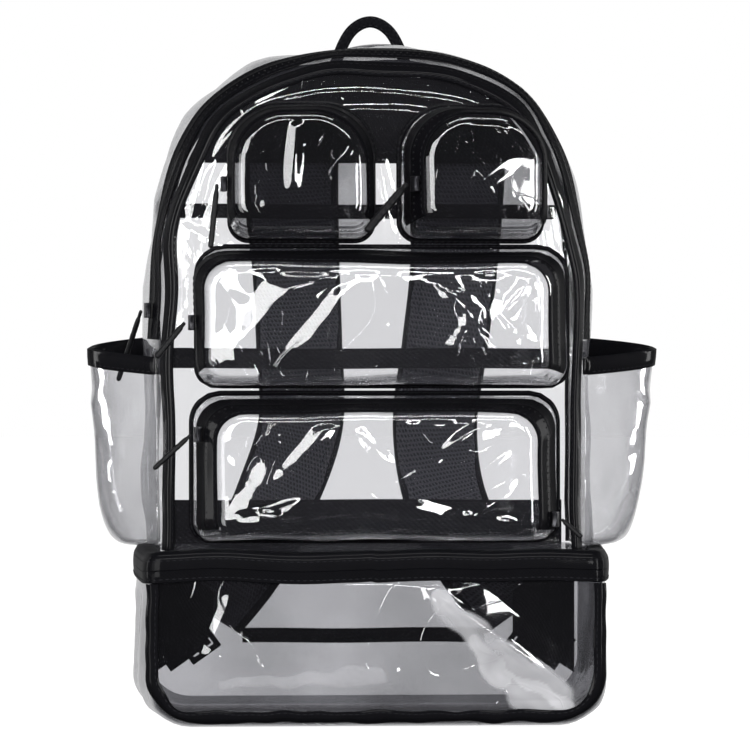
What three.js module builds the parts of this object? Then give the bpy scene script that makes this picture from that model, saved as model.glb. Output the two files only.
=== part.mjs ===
// Clear PVC backpack: a domed main compartment over a boxed base compartment, four zipped box pockets on
// the front, an open pocket on each side, and padded shoulder straps behind.
// Millimetres. +Z is up, -Y is the front, and +X is on the right seen from the front.
// The origin is the middle of the base, on the surface that the bag stands on.
import * as THREE from "three";
import { mergeVertices } from "three/addons/utils/BufferGeometryUtils.js";

const { lerp, clamp } = THREE.MathUtils;

// Stock thicknesses and the clearance between neighbouring pieces
const WALL = 1.5;
const TAPE = 1.8;
const GAP = 0.4;

// Main compartment: straight sides up to the spring line, then a superellipse dome
const BODY = {
  floorZ: 113.5,
  springZ: 252,
  domePower: 2.85,
  frontHalfWidth: 134,
  backHalfWidth: 144,
  sideBulge: 12,
  frontTopZ: 430,
  backTopZ: 442,
  topBulge: 15.5,
  frontY: -43,
  frontLean: 18,
  leanLimit: 1.1,
  backY: 86,
  straightSteps: 5,
  domeSteps: 24,
  gussetShares: [0.12, 0.3, 0.5, 0.75],
  panelSteps: 6,
};

// Base compartment: a gusset of floor, sides and ledge between the back panel and a front panel.
// The zip band lies round it just under the ledge that the main compartment stands on.
const BASE = {
  centerX: 0,
  depth: 172,
  crown: 0,
  sideBulge: 8,
  edgeLift: 6,
  liftShare: 0.1,
  radiusLow: 30,
  radiusHigh: 5,
  back: { halfWidth: 150, lowZ: 0, highZ: 113 },
  front: { halfWidth: 147, lowZ: 0, highZ: 113 },
  frontShift: 0,
};
const BASE_SHARES = [1, 0.96, 0.9, 0.7, 0.5, 0.3, 0.1, 0.04, 0];
const BASE_FRONT = { crown: 3, edgePower: 6, columns: 22, rows: 5, flatSide: 10, flatFoot: 12 };
const BASE_ZIP = { lowZ: 94, sideStart: 0.12, sideEnd: 0.9, sideSteps: 6, frontSteps: 8 };
const BASE_BINDING = 8;

// Creases pressed into the base front: each runs from one point of the panel to another
const FRONT_FOLDS = [
  { fromX: 34, fromZ: 92, toX: 128, toZ: 18, height: 5, width: 11 },
  { fromX: -128, fromZ: 74, toX: -92, toZ: 40, height: -4, width: 12 },
  { fromX: -108, fromZ: 22, toX: -20, toZ: 30, height: 2.5, width: 14 },
];

// Front pockets: the back outline lies on the front panel and the front outline stands off it by the depth
const POCKETS = [
  {
    name: "upper_left",
    centerX: -47,
    depth: 36,
    crown: 3,
    sideBulge: 2.5,
    radiusLow: 12,
    radiusHigh: 32,
    back: { halfWidth: 46.5, lowZ: 318, highZ: 408 },
    front: { halfWidth: 40.5, lowZ: 329, highZ: 400 },
    frontShift: -2,
  },
  {
    name: "upper_right",
    centerX: 64.5,
    depth: 36,
    crown: 3,
    sideBulge: 2.5,
    radiusLow: 12,
    radiusHigh: 32,
    back: { halfWidth: 46.5, lowZ: 318, highZ: 407 },
    front: { halfWidth: 37, lowZ: 329, highZ: 399 },
    frontShift: 6,
  },
  {
    name: "middle",
    centerX: 6,
    depth: 43,
    crown: 4,
    sideBulge: 2.5,
    radiusLow: 12,
    radiusHigh: 18,
    back: { halfWidth: 121.5, lowZ: 222.5, highZ: 313 },
    front: { halfWidth: 110, lowZ: 229, highZ: 301 },
    frontShift: -6,
  },
  {
    name: "lower",
    centerX: 1,
    depth: 43,
    crown: 4,
    sideBulge: 2.5,
    radiusLow: 12,
    radiusHigh: 18,
    back: { halfWidth: 120, lowZ: 121, highZ: 216.5 },
    front: { halfWidth: 102, lowZ: 124, highZ: 203 },
    frontShift: 0,
  },
];
const POCKET_ZIP = [0.34, 0.5, 0.94];
const POCKET_SEAM = [0, 0.16];
const POCKET_SHARES = [0.5, 0];
const POCKET_SCALES = [0, 0.5, 0.85, 1];

// Side pockets: a sheet that swings out from the gusset and closes in at the bottom
const SIDE_POCKET = {
  frontShare: 0.13,
  backShare: 0.88,
  lowZ: 115,
  rimFrontZ: 240,
  rimBackZ: 254,
  rimHeight: 11,
  reach: { left: 37, right: 43.5 },
  edgeReach: 2.2,
  reachPower: 0.9,
  profilePower: 2.3,
  alongSteps: 12,
  wallStops: [0, 0.02, 0.08, 0.2, 0.4, 0.65],
};

// Main zip and seam tapes, as shares of the depth from the front panel to the back panel
const MAIN_ZIP = [0.11, 0.2, 0.29];
const FRONT_BINDING = [0, 0.09];
const BACK_BINDING = [0.91, 1];

// Black tapes and yoke on the outside of the back panel
const YOKE = { lowZ: 376, highZ: 438, edge: 5, rows: 6 };
const BACK_TAPES = [
  { name: "back_tape_high", lowZ: 338, highZ: 347, halfWidth: 134 },
  { name: "back_tape_middle", lowZ: 234, highZ: 247, halfWidth: 138 },
  { name: "back_tape_low", lowZ: 112, highZ: 142, halfWidth: 138 },
  { name: "base_tape", lowZ: 44, highZ: 53, halfWidth: 84 },
];

// Grab handle: a flat webbing arch standing on the yoke
const HANDLE = {
  centerX: 5,
  halfSpan: 24,
  footSplay: 7,
  footZ: 420,
  springZ: 446,
  shoulderSpan: 0.46,
  shoulderRise: 0.74,
  apexZ: 474,
  width: 8,
  thickness: 5,
  edgeShare: 0.5,
  steps: 24,
};

// Shoulder straps from the yoke down to the buckle, each with its own distance from the middle
const STRAP = [
  { x: { left: 47, right: 68 }, y: 95.3, z: 402, width: 58, thickness: 9 },
  { x: { left: 47, right: 68 }, y: 103, z: 360, width: 59, thickness: 10 },
  { x: { left: 46, right: 65 }, y: 117, z: 305, width: 59, thickness: 11 },
  { x: { left: 43.5, right: 59 }, y: 122, z: 250, width: 58, thickness: 11 },
  { x: { left: 42.5, right: 52 }, y: 121, z: 195, width: 57, thickness: 11 },
  { x: { left: 59, right: 58 }, y: 114, z: 145, width: 55, thickness: 10 },
  { x: { left: 80, right: 78 }, y: 106, z: 100, width: 53, thickness: 9 },
  { x: { left: 105, right: 105 }, y: 97, z: 62, width: 44, thickness: 7 },
];
const STRAP_PAD = { steps: 16, columns: 4, edgeShare: 0.4 };
const BUCKLE = { x: 118.6, y: 92.9, z: 49.2, length: 24, width: 36, thickness: 4 };
const BUCKLE_SLOT = { width: 4.5, innerBar: 4, outerBar: 5.2 };
const WEB = { width: 25, fromX: 113, fromZ: 54, toX: 141, toZ: 34 };
const TAB = { edgeX: 147, lowZ: 22, highZ: 106, tipX: 104, tipHalf: 15 };

// Zip sliders with moulded pulls. The station counts round the pocket outline from its lower left corner.
const SLIDER = { thickness: 4, depth: 8, height: 10, lift: 0.9, shareStep: 0.03 };
const PULLS = [
  { name: "upper_left", pocket: 0, station: 5, share: 0.6, length: 44, radius: 1.9 },
  { name: "upper_right", pocket: 1, station: 5, share: 0.9, length: 46, radius: 2.8 },
  { name: "middle", pocket: 2, station: 5, share: 0.6, length: 30, radius: 2 },
  { name: "lower", pocket: 3, station: 6, share: 0.6, length: 34, radius: 1.7 },
  { name: "lower_right", pocket: 3, station: 18, share: 0.6, length: 18, radius: 1.7 },
];
const LEANS = {
  upper_left: [-0.1, -0.25, -0.96],
  upper_right: [-0.6, -0.4, -0.7],
  middle: [-0.62, -0.2, -0.76],
  lower: [-0.72, -0.2, -0.66],
  lower_right: [0.7, -0.3, -0.65],
  main: [-0.3, 0.3, -0.9],
};
const MAIN_PULL = { name: "main", z: 272, share: 0.2, length: 52, radius: 1.8 };
const GRIP = { capSteps: 2, sides: 8 };

const clearPvc = { color: 0xd5d8de, roughness: 0.08, metalness: 0, transparent: true, opacity: 0.35 };
const blackTape = { color: 0x101014, roughness: 0.75, metalness: 0 };
const zipTape = { color: 0x0c0c10, roughness: 0.55, metalness: 0 };
const padMesh = { color: 0x18181c, roughness: 0.85, metalness: 0 };
const moulded = { color: 0x0e0e10, roughness: 0.45, metalness: 0 };
const blackMetal = { color: 0x16161a, roughness: 0.4, metalness: 0.8 };

const mergeTolerance = 1e-3;
const forward = new THREE.Vector3(0, 1, 0);
const backpack = new THREE.Group();

function addPiece(name, geometry, finish) {
  const mesh = new THREE.Mesh(geometry, new THREE.MeshStandardMaterial(finish));
  mesh.name = name;
  backpack.add(mesh);
  return mesh;
}

function signedVolume(geometry) {
  const position = geometry.getAttribute("position");
  const corners = [0, 1, 2].map(() => new THREE.Vector3());
  let volume = 0;
  for (let i = 0; i < geometry.index.count; i += 3) {
    corners.forEach((corner, k) => corner.fromBufferAttribute(position, geometry.index.getX(i + k)));
    volume += corners[0].dot(corners[1].cross(corners[2])) / 6;
  }
  return volume;
}

// Merges the shared points of a closed geometry, drops flat triangles and turns the faces outwards
function closed(geometry) {
  geometry.deleteAttribute("normal");
  geometry.deleteAttribute("uv");
  const merged = mergeVertices(geometry, mergeTolerance);
  const corners = [];
  for (let i = 0; i < merged.index.count; i += 3) {
    const [a, b, c] = [0, 1, 2].map((k) => merged.index.getX(i + k));
    if (a !== b && b !== c && c !== a) corners.push([a, b, c]);
  }
  merged.setIndex(corners.flat());
  if (signedVolume(merged) < 0) merged.setIndex(corners.map(([a, b, c]) => [a, c, b]).flat());
  merged.computeVertexNormals();
  return merged;
}

// A sheet with two faces, bent from a box: place(row, column, face) gives each corner, with face 0 or 1
function sheet(rows, columns, place) {
  const box = new THREE.BoxGeometry(1, 1, 1, rows.length - 1, columns.length - 1, 1);
  const position = box.getAttribute("position");
  for (let i = 0; i < position.count; i++) {
    const row = rows[Math.round((position.getX(i) + 0.5) * (rows.length - 1))];
    const column = columns[Math.round((position.getY(i) + 0.5) * (columns.length - 1))];
    const point = place(row, column, Math.round(position.getZ(i) + 0.5));
    position.setXYZ(i, point.x, point.y, point.z);
  }
  return closed(box);
}

// A closed band, bent from a torus: place(station, corner) gives each corner of its section
function band(stations, corners, place) {
  const torus = new THREE.TorusGeometry(1, 0.4, corners.length, stations);
  const position = torus.getAttribute("position");
  const uv = torus.getAttribute("uv");
  for (let i = 0; i < position.count; i++) {
    const station = Math.round(uv.getX(i) * stations) % stations;
    const corner = corners[Math.round(uv.getY(i) * corners.length) % corners.length];
    const point = place(station, corner);
    position.setXYZ(i, point.x, point.y, point.z);
  }
  return closed(torus);
}

// A hollow cup, bent from a lathe whose profile runs from the outer pole over the rim to the inner pole
function cup(stations, profile, place) {
  const lathe = new THREE.LatheGeometry(profile.map((row, i) => new THREE.Vector2(row.scale, i)), stations);
  const position = lathe.getAttribute("position");
  const uv = lathe.getAttribute("uv");
  for (let i = 0; i < position.count; i++) {
    const station = Math.round(uv.getX(i) * stations) % stations;
    const row = profile[Math.round(uv.getY(i) * (profile.length - 1))];
    const point = place(station, row);
    position.setXYZ(i, point.x, point.y, point.z);
  }
  return closed(lathe);
}

function evenStops(from, to, steps) {
  return Array.from({ length: steps + 1 }, (_, i) => lerp(from, to, i / steps));
}

function frontPanelY(z) {
  const rise = clamp((z - BODY.floorZ) / (BODY.frontTopZ - BODY.floorZ), 0, BODY.leanLimit);
  return BODY.frontY + BODY.frontLean * rise * rise;
}

function bulge(share) {
  return 4 * share * (1 - share);
}

// Half width and top of the main compartment at a share of its depth, front to back
function bodySection(share, inset) {
  return {
    halfWidth: lerp(BODY.frontHalfWidth, BODY.backHalfWidth, share) + BODY.sideBulge * bulge(share) - inset,
    topZ: lerp(BODY.frontTopZ, BODY.backTopZ, share) + BODY.topBulge * bulge(share) - inset,
  };
}

function domeHalfWidth(z, share, inset) {
  const { halfWidth, topZ } = bodySection(share, inset);
  const rise = clamp((z - BODY.springZ) / (topZ - BODY.springZ), 0, 1);
  return halfWidth * (1 - rise ** BODY.domePower) ** (1 / BODY.domePower);
}

const bodySteps = 2 * BODY.straightSteps + BODY.domeSteps;

// A place on the gusset: step counts along the dome from the left foot to the right foot
function bodyPlace(step, share, inset) {
  const { halfWidth, topZ } = bodySection(share, inset);
  const fromFoot = Math.min(step, bodySteps - step);
  const side = step < bodySteps / 2 ? -1 : 1;
  let x = side * halfWidth;
  let z = lerp(BODY.floorZ, BODY.springZ, fromFoot / BODY.straightSteps);
  if (fromFoot > BODY.straightSteps) {
    const angle = (Math.PI * (fromFoot - BODY.straightSteps)) / BODY.domeSteps;
    x = side * halfWidth * Math.max(Math.cos(angle), 0) ** (2 / BODY.domePower);
    z = BODY.springZ + (topZ - BODY.springZ) * Math.sin(angle) ** (2 / BODY.domePower);
  }
  return new THREE.Vector3(x, lerp(frontPanelY(z), BODY.backY, share), z);
}

// A place on a box pocket's outline: six stations to each corner, from the lower left one round by the top
const cornerSteps = 4;
const cornerStations = cornerSteps + 2;
const outlineStations = 4 * cornerStations;
const outlineCorners = [
  { x: -1, z: -1 },
  { x: -1, z: 1 },
  { x: 1, z: 1 },
  { x: 1, z: -1 },
];

function outlineCorner(size, corner, turn) {
  const { x, z } = outlineCorners[corner];
  const radius = z < 0 ? size.radiusLow : size.radiusHigh;
  const angle = (Math.PI / 2) * (3 - corner - turn);
  return {
    x: x * (size.halfWidth - radius) + radius * Math.cos(angle),
    z: (z < 0 ? size.lowZ + radius : size.highZ - radius) + radius * Math.sin(angle),
  };
}

function outlinePlace(size, station) {
  const corner = Math.floor(station / cornerStations);
  const step = station % cornerStations;
  if (step <= cornerSteps) return outlineCorner(size, corner, step / cornerSteps);
  const before = outlineCorner(size, corner, 1);
  const after = outlineCorner(size, (corner + 1) % 4, 0);
  return { x: (before.x + after.x) / 2, z: (before.z + after.z) / 2 };
}

// The outline of a box at a share of its depth, drawn in by the inset
function boxSection(box, share, inset) {
  const swell = box.sideBulge * bulge(share) - inset;
  return {
    halfWidth: lerp(box.back.halfWidth, box.front.halfWidth, share) + swell,
    lowZ: lerp(box.back.lowZ, box.front.lowZ, share) + box.lift(share) + inset,
    highZ: lerp(box.back.highZ, box.front.highZ, share) - inset,
    radiusLow: box.radiusLow - inset,
    radiusHigh: box.radiusHigh - inset,
  };
}

function boxPlace(box, station, share, inset, scale = 1) {
  const size = boxSection(box, share, inset);
  const middleZ = (size.lowZ + size.highZ) / 2;
  const edge = outlinePlace(size, station);
  const z = lerp(middleZ, edge.z, scale);
  const y = box.backY(z) - box.depth * share - box.crown * (1 - scale * scale);
  const middleX = box.centerX + box.frontShift * share;
  return new THREE.Vector3(middleX + scale * edge.x, y, z);
}

// Rows of a pocket's wall from the middle of its front, out to the edge, back to the open rim and in again
function pocketProfile(box) {
  const innerFront = 1 - WALL / box.depth;
  const outer = [
    ...POCKET_SCALES.map((scale) => ({ scale, share: 1, inset: 0 })),
    ...POCKET_SHARES.map((share) => ({ scale: 1, share, inset: 0 })),
  ];
  const inner = [
    ...POCKET_SHARES.map((share) => ({ scale: 1, share, inset: WALL })).reverse(),
    ...POCKET_SCALES.map((scale) => ({ scale, share: innerFront, inset: WALL })).reverse(),
  ];
  return [...outer, ...inner];
}

function pocketBox(size) {
  return { ...size, backY: (z) => frontPanelY(z) - WALL - GAP, lift: () => 0 };
}

function addMainCompartment() {
  const steps = evenStops(0, bodySteps, bodySteps);
  const skin = (columns, outside, run = steps) =>
    sheet(run, columns, (step, share, face) => bodyPlace(step, share, outside[face]));
  const backEdge = 1 - GAP / (BODY.backY - BODY.frontY);
  const tapeFaces = [-GAP, -GAP - TAPE];
  addPiece("main_gusset", skin([1 - backEdge, ...BODY.gussetShares, backEdge], [WALL, 0]), clearPvc);
  const domeRun = steps.slice(BODY.straightSteps, -BODY.straightSteps);
  addPiece("main_zip", skin(MAIN_ZIP, tapeFaces, domeRun), zipTape);
  addPiece("front_binding", skin(FRONT_BINDING, tapeFaces), blackTape);
  addPiece("back_binding", skin(BACK_BINDING, tapeFaces), blackTape);

  const rows = evenStops(0, bodySteps / 2 - 1, bodySteps / 2 - 1);
  const front = sheet(evenStops(-1, 1, BODY.panelSteps), rows, (share, row, face) => {
    const edge = bodyPlace(row, 0, GAP);
    return new THREE.Vector3(-share * edge.x, frontPanelY(edge.z) - face * WALL, edge.z);
  });
  addPiece("front_panel", front, clearPvc);
}

// Rows of half width and height up a base panel, through its rounded lower corner to the zip band
function basePanelRows(share) {
  const size = boxSection(baseBox, share, GAP);
  const corner = evenStops(0, 1, cornerSteps).map((turn) => {
    const { x, z } = outlineCorner(size, 0, turn);
    return { half: -x, z };
  });
  return [...corner, { half: size.halfWidth, z: BASE_ZIP.lowZ }];
}

// The back panel runs the whole height, so it narrows from the base to the body
function addBackPanel() {
  const lowRows = basePanelRows(0);
  const highRows = evenStops(0, bodySteps / 2 - 1, bodySteps / 2 - 1).map((step) => {
    const edge = bodyPlace(step, 1, GAP);
    return { half: -edge.x, z: edge.z };
  });
  const columns = evenStops(-1, 1, BODY.panelSteps);
  const panel = sheet(columns, [...lowRows, ...highRows], (share, row, face) => {
    return new THREE.Vector3(share * row.half, BODY.backY + GAP + face * WALL, row.z);
  });
  addPiece("back_panel", panel, clearPvc);
}

const backFaceY = BODY.backY + GAP + WALL;

function addBackTapes() {
  const tapeY = (face) => backFaceY + GAP + face * TAPE;
  const columns = evenStops(-1, 1, BODY.panelSteps);
  const yoke = sheet(columns, evenStops(YOKE.lowZ, YOKE.highZ, YOKE.rows), (share, z, face) => {
    const half = domeHalfWidth(z, 1, 0) - YOKE.edge;
    return new THREE.Vector3(share * half, tapeY(face), z);
  });
  addPiece("yoke", yoke, blackTape);
  for (const tape of BACK_TAPES) {
    const strip = sheet([-1, 1], [tape.lowZ, tape.highZ], (side, z, face) => {
      return new THREE.Vector3(side * tape.halfWidth, tapeY(face), z);
    });
    addPiece(tape.name, strip, blackTape);
  }
}

const baseLift = (share) => {
  const fromEdge = Math.min(share, 1 - share) / BASE.liftShare;
  return BASE.edgeLift * clamp(1 - fromEdge, 0, 1) ** 2;
};
const baseBox = { ...BASE, backY: () => BODY.backY, lift: baseLift };

// How far the creases lift the base front at a place on it
function foldHeight(x, z) {
  const place = new THREE.Vector3(x, 0, z);
  let height = 0;
  for (const fold of FRONT_FOLDS) {
    const line = new THREE.Line3(
      new THREE.Vector3(fold.fromX, 0, fold.fromZ),
      new THREE.Vector3(fold.toX, 0, fold.toZ),
    );
    const nearest = line.closestPointToPoint(place, true, new THREE.Vector3());
    height += fold.height * Math.exp(-((nearest.distanceTo(place) / fold.width) ** 2));
  }
  return height;
}

function addBaseCompartment() {
  const section = [
    ...BASE_SHARES.map((share) => ({ share, inset: 0 })),
    ...BASE_SHARES.map((share) => ({ share, inset: WALL })).reverse(),
  ];
  const gusset = band(outlineStations, section, (station, corner) =>
    boxPlace(baseBox, station, corner.share, corner.inset),
  );
  addPiece("base_gusset", gusset, clearPvc);

  const frontY = BODY.backY - BASE.depth - GAP;
  const ledgeRow = { half: BASE.front.halfWidth - GAP, z: BASE.front.highZ - BASE.radiusHigh };
  const lowRows = basePanelRows(1);
  const sideRow = lowRows[cornerSteps];
  const sideRows = evenStops(sideRow.z, BASE_ZIP.lowZ, BASE_FRONT.rows).slice(1);
  const rows = [...lowRows.slice(0, -1), ...sideRows.map((z) => ({ half: sideRow.half, z })), ledgeRow];
  // The panel is flat along its sides and its foot, where the binding lies
  const flatShare = 1 - BASE_FRONT.flatSide / BASE.front.halfWidth;
  const flatZ = rows[0].z + BASE_FRONT.flatFoot;
  const columns = [-1, ...evenStops(-flatShare, flatShare, BASE_FRONT.columns), 1];
  const front = sheet(columns, rows, (across, row, face) => {
    const rise = clamp((row.z - flatZ) / (BASE_ZIP.lowZ - flatZ), 0, 1);
    const share = clamp(across / flatShare, -1, 1);
    const calm = bulge(rise) * (1 - share ** BASE_FRONT.edgePower);
    const swell = BASE_FRONT.crown * (1 - share ** 2) + foldHeight(across * row.half, row.z);
    return new THREE.Vector3(across * row.half, frontY - face * WALL - Math.sqrt(calm) * swell, row.z);
  });
  addPiece("base_front", front, clearPvc);

  // The zip band runs along one side, across the front and back along the other side
  const side = evenStops(BASE_ZIP.sideStart, BASE_ZIP.sideEnd, BASE_ZIP.sideSteps);
  const route = [
    ...side.map((share) => ({ x: -1, share })),
    ...evenStops(-1, 1, BASE_ZIP.frontSteps).map((x) => ({ x, share: 1 })),
    ...side.map((share) => ({ x: 1, share })).reverse(),
  ];
  const zip = sheet(route, [BASE_ZIP.lowZ + GAP, ledgeRow.z], (stop, z, face) => {
    const out = GAP + face * TAPE;
    const half = boxSection(baseBox, stop.share, -out).halfWidth;
    const y = stop.share === 1 ? frontY - WALL - out : BODY.backY - BASE.depth * stop.share;
    return new THREE.Vector3(stop.x * half, y, z);
  });
  addPiece("base_zip", zip, zipTape);

  // The base binding laps the front panel's edge down one side, along its foot and up the other side
  const turns = evenStops(0, 1, cornerSteps);
  const stops = [
    { corner: 3, turn: 0, topZ: BASE_ZIP.lowZ },
    ...turns.map((turn) => ({ corner: 3, turn })),
    ...turns.map((turn) => ({ corner: 0, turn })),
    { corner: 0, turn: 1, topZ: BASE_ZIP.lowZ },
  ];
  const binding = sheet(stops, [0, BASE_BINDING], (stop, lap, face) => {
    const edge = outlineCorner(boxSection(baseBox, 1, GAP + lap), stop.corner, stop.turn);
    return new THREE.Vector3(edge.x, frontY - WALL - GAP - face * TAPE, stop.topZ ?? edge.z);
  });
  addPiece("base_binding", binding, blackTape);
}

function addPockets() {
  for (const size of POCKETS) {
    const box = pocketBox(size);
    const shell = cup(outlineStations, pocketProfile(box), (station, row) =>
      boxPlace(box, station, row.share, row.inset, row.scale),
    );
    addPiece(`${size.name}_shell`, shell, clearPvc);

    const arch = evenStops(cornerSteps + 1, 3 * cornerStations - 1, 2 * cornerStations);
    const zip = sheet(arch, POCKET_ZIP, (station, share, face) =>
      boxPlace(box, station, share, -GAP - face * TAPE),
    );
    addPiece(`${size.name}_zip`, zip, zipTape);

    const [from, to] = POCKET_SEAM;
    const section = [
      { share: from, inset: -GAP },
      { share: to, inset: -GAP },
      { share: to, inset: -GAP - TAPE },
      { share: from, inset: -GAP - TAPE },
    ];
    const seam = band(outlineStations, section, (station, corner) =>
      boxPlace(box, station, corner.share, corner.inset),
    );
    addPiece(`${size.name}_seam`, seam, blackTape);
  }
}

// A place on a side pocket: along counts from its front seam to its back seam, up from its foot to its rim
function sidePocketPlace(name, along, up, inset) {
  const pocket = SIDE_POCKET;
  const share = lerp(pocket.frontShare, pocket.backShare, along);
  const rimZ = lerp(pocket.rimFrontZ, pocket.rimBackZ, along);
  const swing = Math.sin(Math.PI * along) ** pocket.reachPower;
  const reach = lerp(pocket.edgeReach, pocket.reach[name], swing) - inset;
  const profile = (1 - (1 - up) ** pocket.profilePower) ** (1 / pocket.profilePower);
  const z = rimZ - (rimZ - pocket.lowZ - inset) * (1 - up);
  const x = bodySection(share, 0).halfWidth + GAP + reach * profile;
  return new THREE.Vector3(name === "left" ? -x : x, lerp(frontPanelY(z), BODY.backY, share), z);
}

function addSidePockets() {
  const along = evenStops(0, 1, SIDE_POCKET.alongSteps);
  const rimShare = 1 - SIDE_POCKET.rimHeight / (SIDE_POCKET.rimFrontZ - SIDE_POCKET.lowZ);
  const gapShare = GAP / (SIDE_POCKET.rimFrontZ - SIDE_POCKET.lowZ);
  const wallStops = [...SIDE_POCKET.wallStops, rimShare - gapShare];
  for (const name of ["left", "right"]) {
    const wall = sheet(along, wallStops, (stop, up, face) => sidePocketPlace(name, stop, up, face * WALL));
    addPiece(`side_pocket_${name}`, wall, clearPvc);
    const rim = sheet(along, [rimShare, 1], (stop, up, face) => sidePocketPlace(name, stop, up, face * TAPE));
    addPiece(`side_pocket_rim_${name}`, rim, blackTape);
  }
}

function addHandle() {
  const y = backFaceY + 2 * GAP + TAPE + HANDLE.thickness / 2;
  const { centerX, halfSpan, footSplay, footZ, springZ, apexZ } = HANDLE;
  const arm = [
    { x: halfSpan + footSplay, z: footZ },
    { x: halfSpan, z: springZ },
    { x: HANDLE.shoulderSpan * halfSpan, z: lerp(springZ, apexZ, HANDLE.shoulderRise) },
  ];
  const route = new THREE.CatmullRomCurve3([
    ...arm.map(({ x, z }) => new THREE.Vector3(centerX - x, y, z)),
    new THREE.Vector3(centerX, y, apexZ),
    ...arm.map(({ x, z }) => new THREE.Vector3(centerX + x, y, z)).reverse(),
  ]);
  const arch = sheet(evenStops(-0.5, 0.5, 2), evenStops(0, 1, HANDLE.steps), (across, along, face) => {
    const out = new THREE.Vector3().crossVectors(route.getTangent(along), forward).normalize();
    const thick = HANDLE.thickness * lerp(HANDLE.edgeShare, 1, bulge(across + 0.5));
    return route
      .getPoint(along)
      .addScaledVector(out, across * HANDLE.width)
      .addScaledVector(forward, (face - 0.5) * thick);
  });
  addPiece("handle", arch, blackTape);
}

function addStrap(name, side) {
  const route = new THREE.CatmullRomCurve3(
    STRAP.map(({ x, y, z }) => new THREE.Vector3(side * x[name], y, z)),
  );
  const sizes = new THREE.CatmullRomCurve3(
    STRAP.map(({ width, thickness }) => new THREE.Vector3(width, thickness, 0)),
  );
  const columns = evenStops(-0.5, 0.5, STRAP_PAD.columns);
  const pad = sheet(columns, evenStops(0, 1, STRAP_PAD.steps), (across, along, face) => {
    const tangent = route.getTangent(along);
    const out = new THREE.Vector3().crossVectors(tangent, forward).normalize();
    const normal = new THREE.Vector3().crossVectors(out, tangent).normalize();
    const size = sizes.getPoint(along);
    const thick = size.y * lerp(STRAP_PAD.edgeShare, 1, Math.sqrt(bulge(across + 0.5)));
    return route
      .getPoint(along)
      .addScaledVector(out, across * size.x)
      .addScaledVector(normal, (face - 0.5) * thick);
  });
  addPiece(`strap_pad_${name}`, pad, padMesh);

  // Adjusting web, from under the buckle to the tab in the lower corner
  const tabY = backFaceY + GAP + TAPE + GAP;
  const from = new THREE.Vector3(side * WEB.fromX, tabY, WEB.fromZ);
  const to = new THREE.Vector3(side * WEB.toX, tabY, WEB.toZ);
  const run = new THREE.Vector3().subVectors(to, from);
  const across = new THREE.Vector3().crossVectors(run, forward).normalize();
  const web = sheet([-0.5, 0.5], [0, 1], (share, along, face) =>
    from
      .clone()
      .addScaledVector(run, along)
      .addScaledVector(across, share * WEB.width)
      .addScaledVector(forward, face * TAPE),
  );
  addPiece(`strap_web_${name}`, web, blackTape);

  const triangle = new THREE.Shape([
    new THREE.Vector2(TAB.edgeX, TAB.lowZ),
    new THREE.Vector2(TAB.edgeX, TAB.highZ),
    new THREE.Vector2(TAB.tipX, lerp(TAB.lowZ, TAB.highZ, 0.5) + TAB.tipHalf),
    new THREE.Vector2(TAB.tipX, lerp(TAB.lowZ, TAB.highZ, 0.5) - TAB.tipHalf),
  ]);
  const tab = addPiece(`strap_tab_${name}`, uprightPlate(triangle, TAPE, side), blackTape);
  tab.position.y = backFaceY + GAP;

  const frame = new THREE.Shape();
  const [halfLength, halfWidth] = [BUCKLE.length / 2, BUCKLE.width / 2];
  frame.setFromPoints([
    new THREE.Vector2(-halfLength, -halfWidth),
    new THREE.Vector2(halfLength, -halfWidth),
    new THREE.Vector2(halfLength, halfWidth),
    new THREE.Vector2(-halfLength, halfWidth),
  ]);
  const slots = [
    { middle: -BUCKLE.length / 4, slotHalf: halfWidth - BUCKLE_SLOT.innerBar },
    { middle: BUCKLE.length / 4, slotHalf: halfWidth - BUCKLE_SLOT.outerBar },
  ];
  for (const { middle, slotHalf } of slots) {
    frame.holes.push(
      new THREE.Path([
        new THREE.Vector2(middle - BUCKLE_SLOT.width / 2, -slotHalf),
        new THREE.Vector2(middle - BUCKLE_SLOT.width / 2, slotHalf),
        new THREE.Vector2(middle + BUCKLE_SLOT.width / 2, slotHalf),
        new THREE.Vector2(middle + BUCKLE_SLOT.width / 2, -slotHalf),
      ]),
    );
  }
  const buckle = addPiece(`strap_buckle_${name}`, uprightPlate(frame, BUCKLE.thickness, side), moulded);
  buckle.position.set(side * BUCKLE.x, BUCKLE.y, BUCKLE.z);
  buckle.rotation.y = Math.atan2(WEB.fromZ - WEB.toZ, side * (WEB.toX - WEB.fromX));
  if (side < 0) buckle.rotation.y -= Math.PI;
}

// An outline drawn in X and Z, mirrored for the left side, as a plate whose thickness runs towards +Y
function uprightPlate(shape, thickness, side) {
  const plate = new THREE.ExtrudeGeometry(shape, { depth: thickness, bevelEnabled: false });
  const position = plate.getAttribute("position");
  for (let i = 0; i < position.count; i++) {
    position.setXYZ(i, side * position.getX(i), position.getZ(i), position.getY(i));
  }
  return closed(plate);
}

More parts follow.
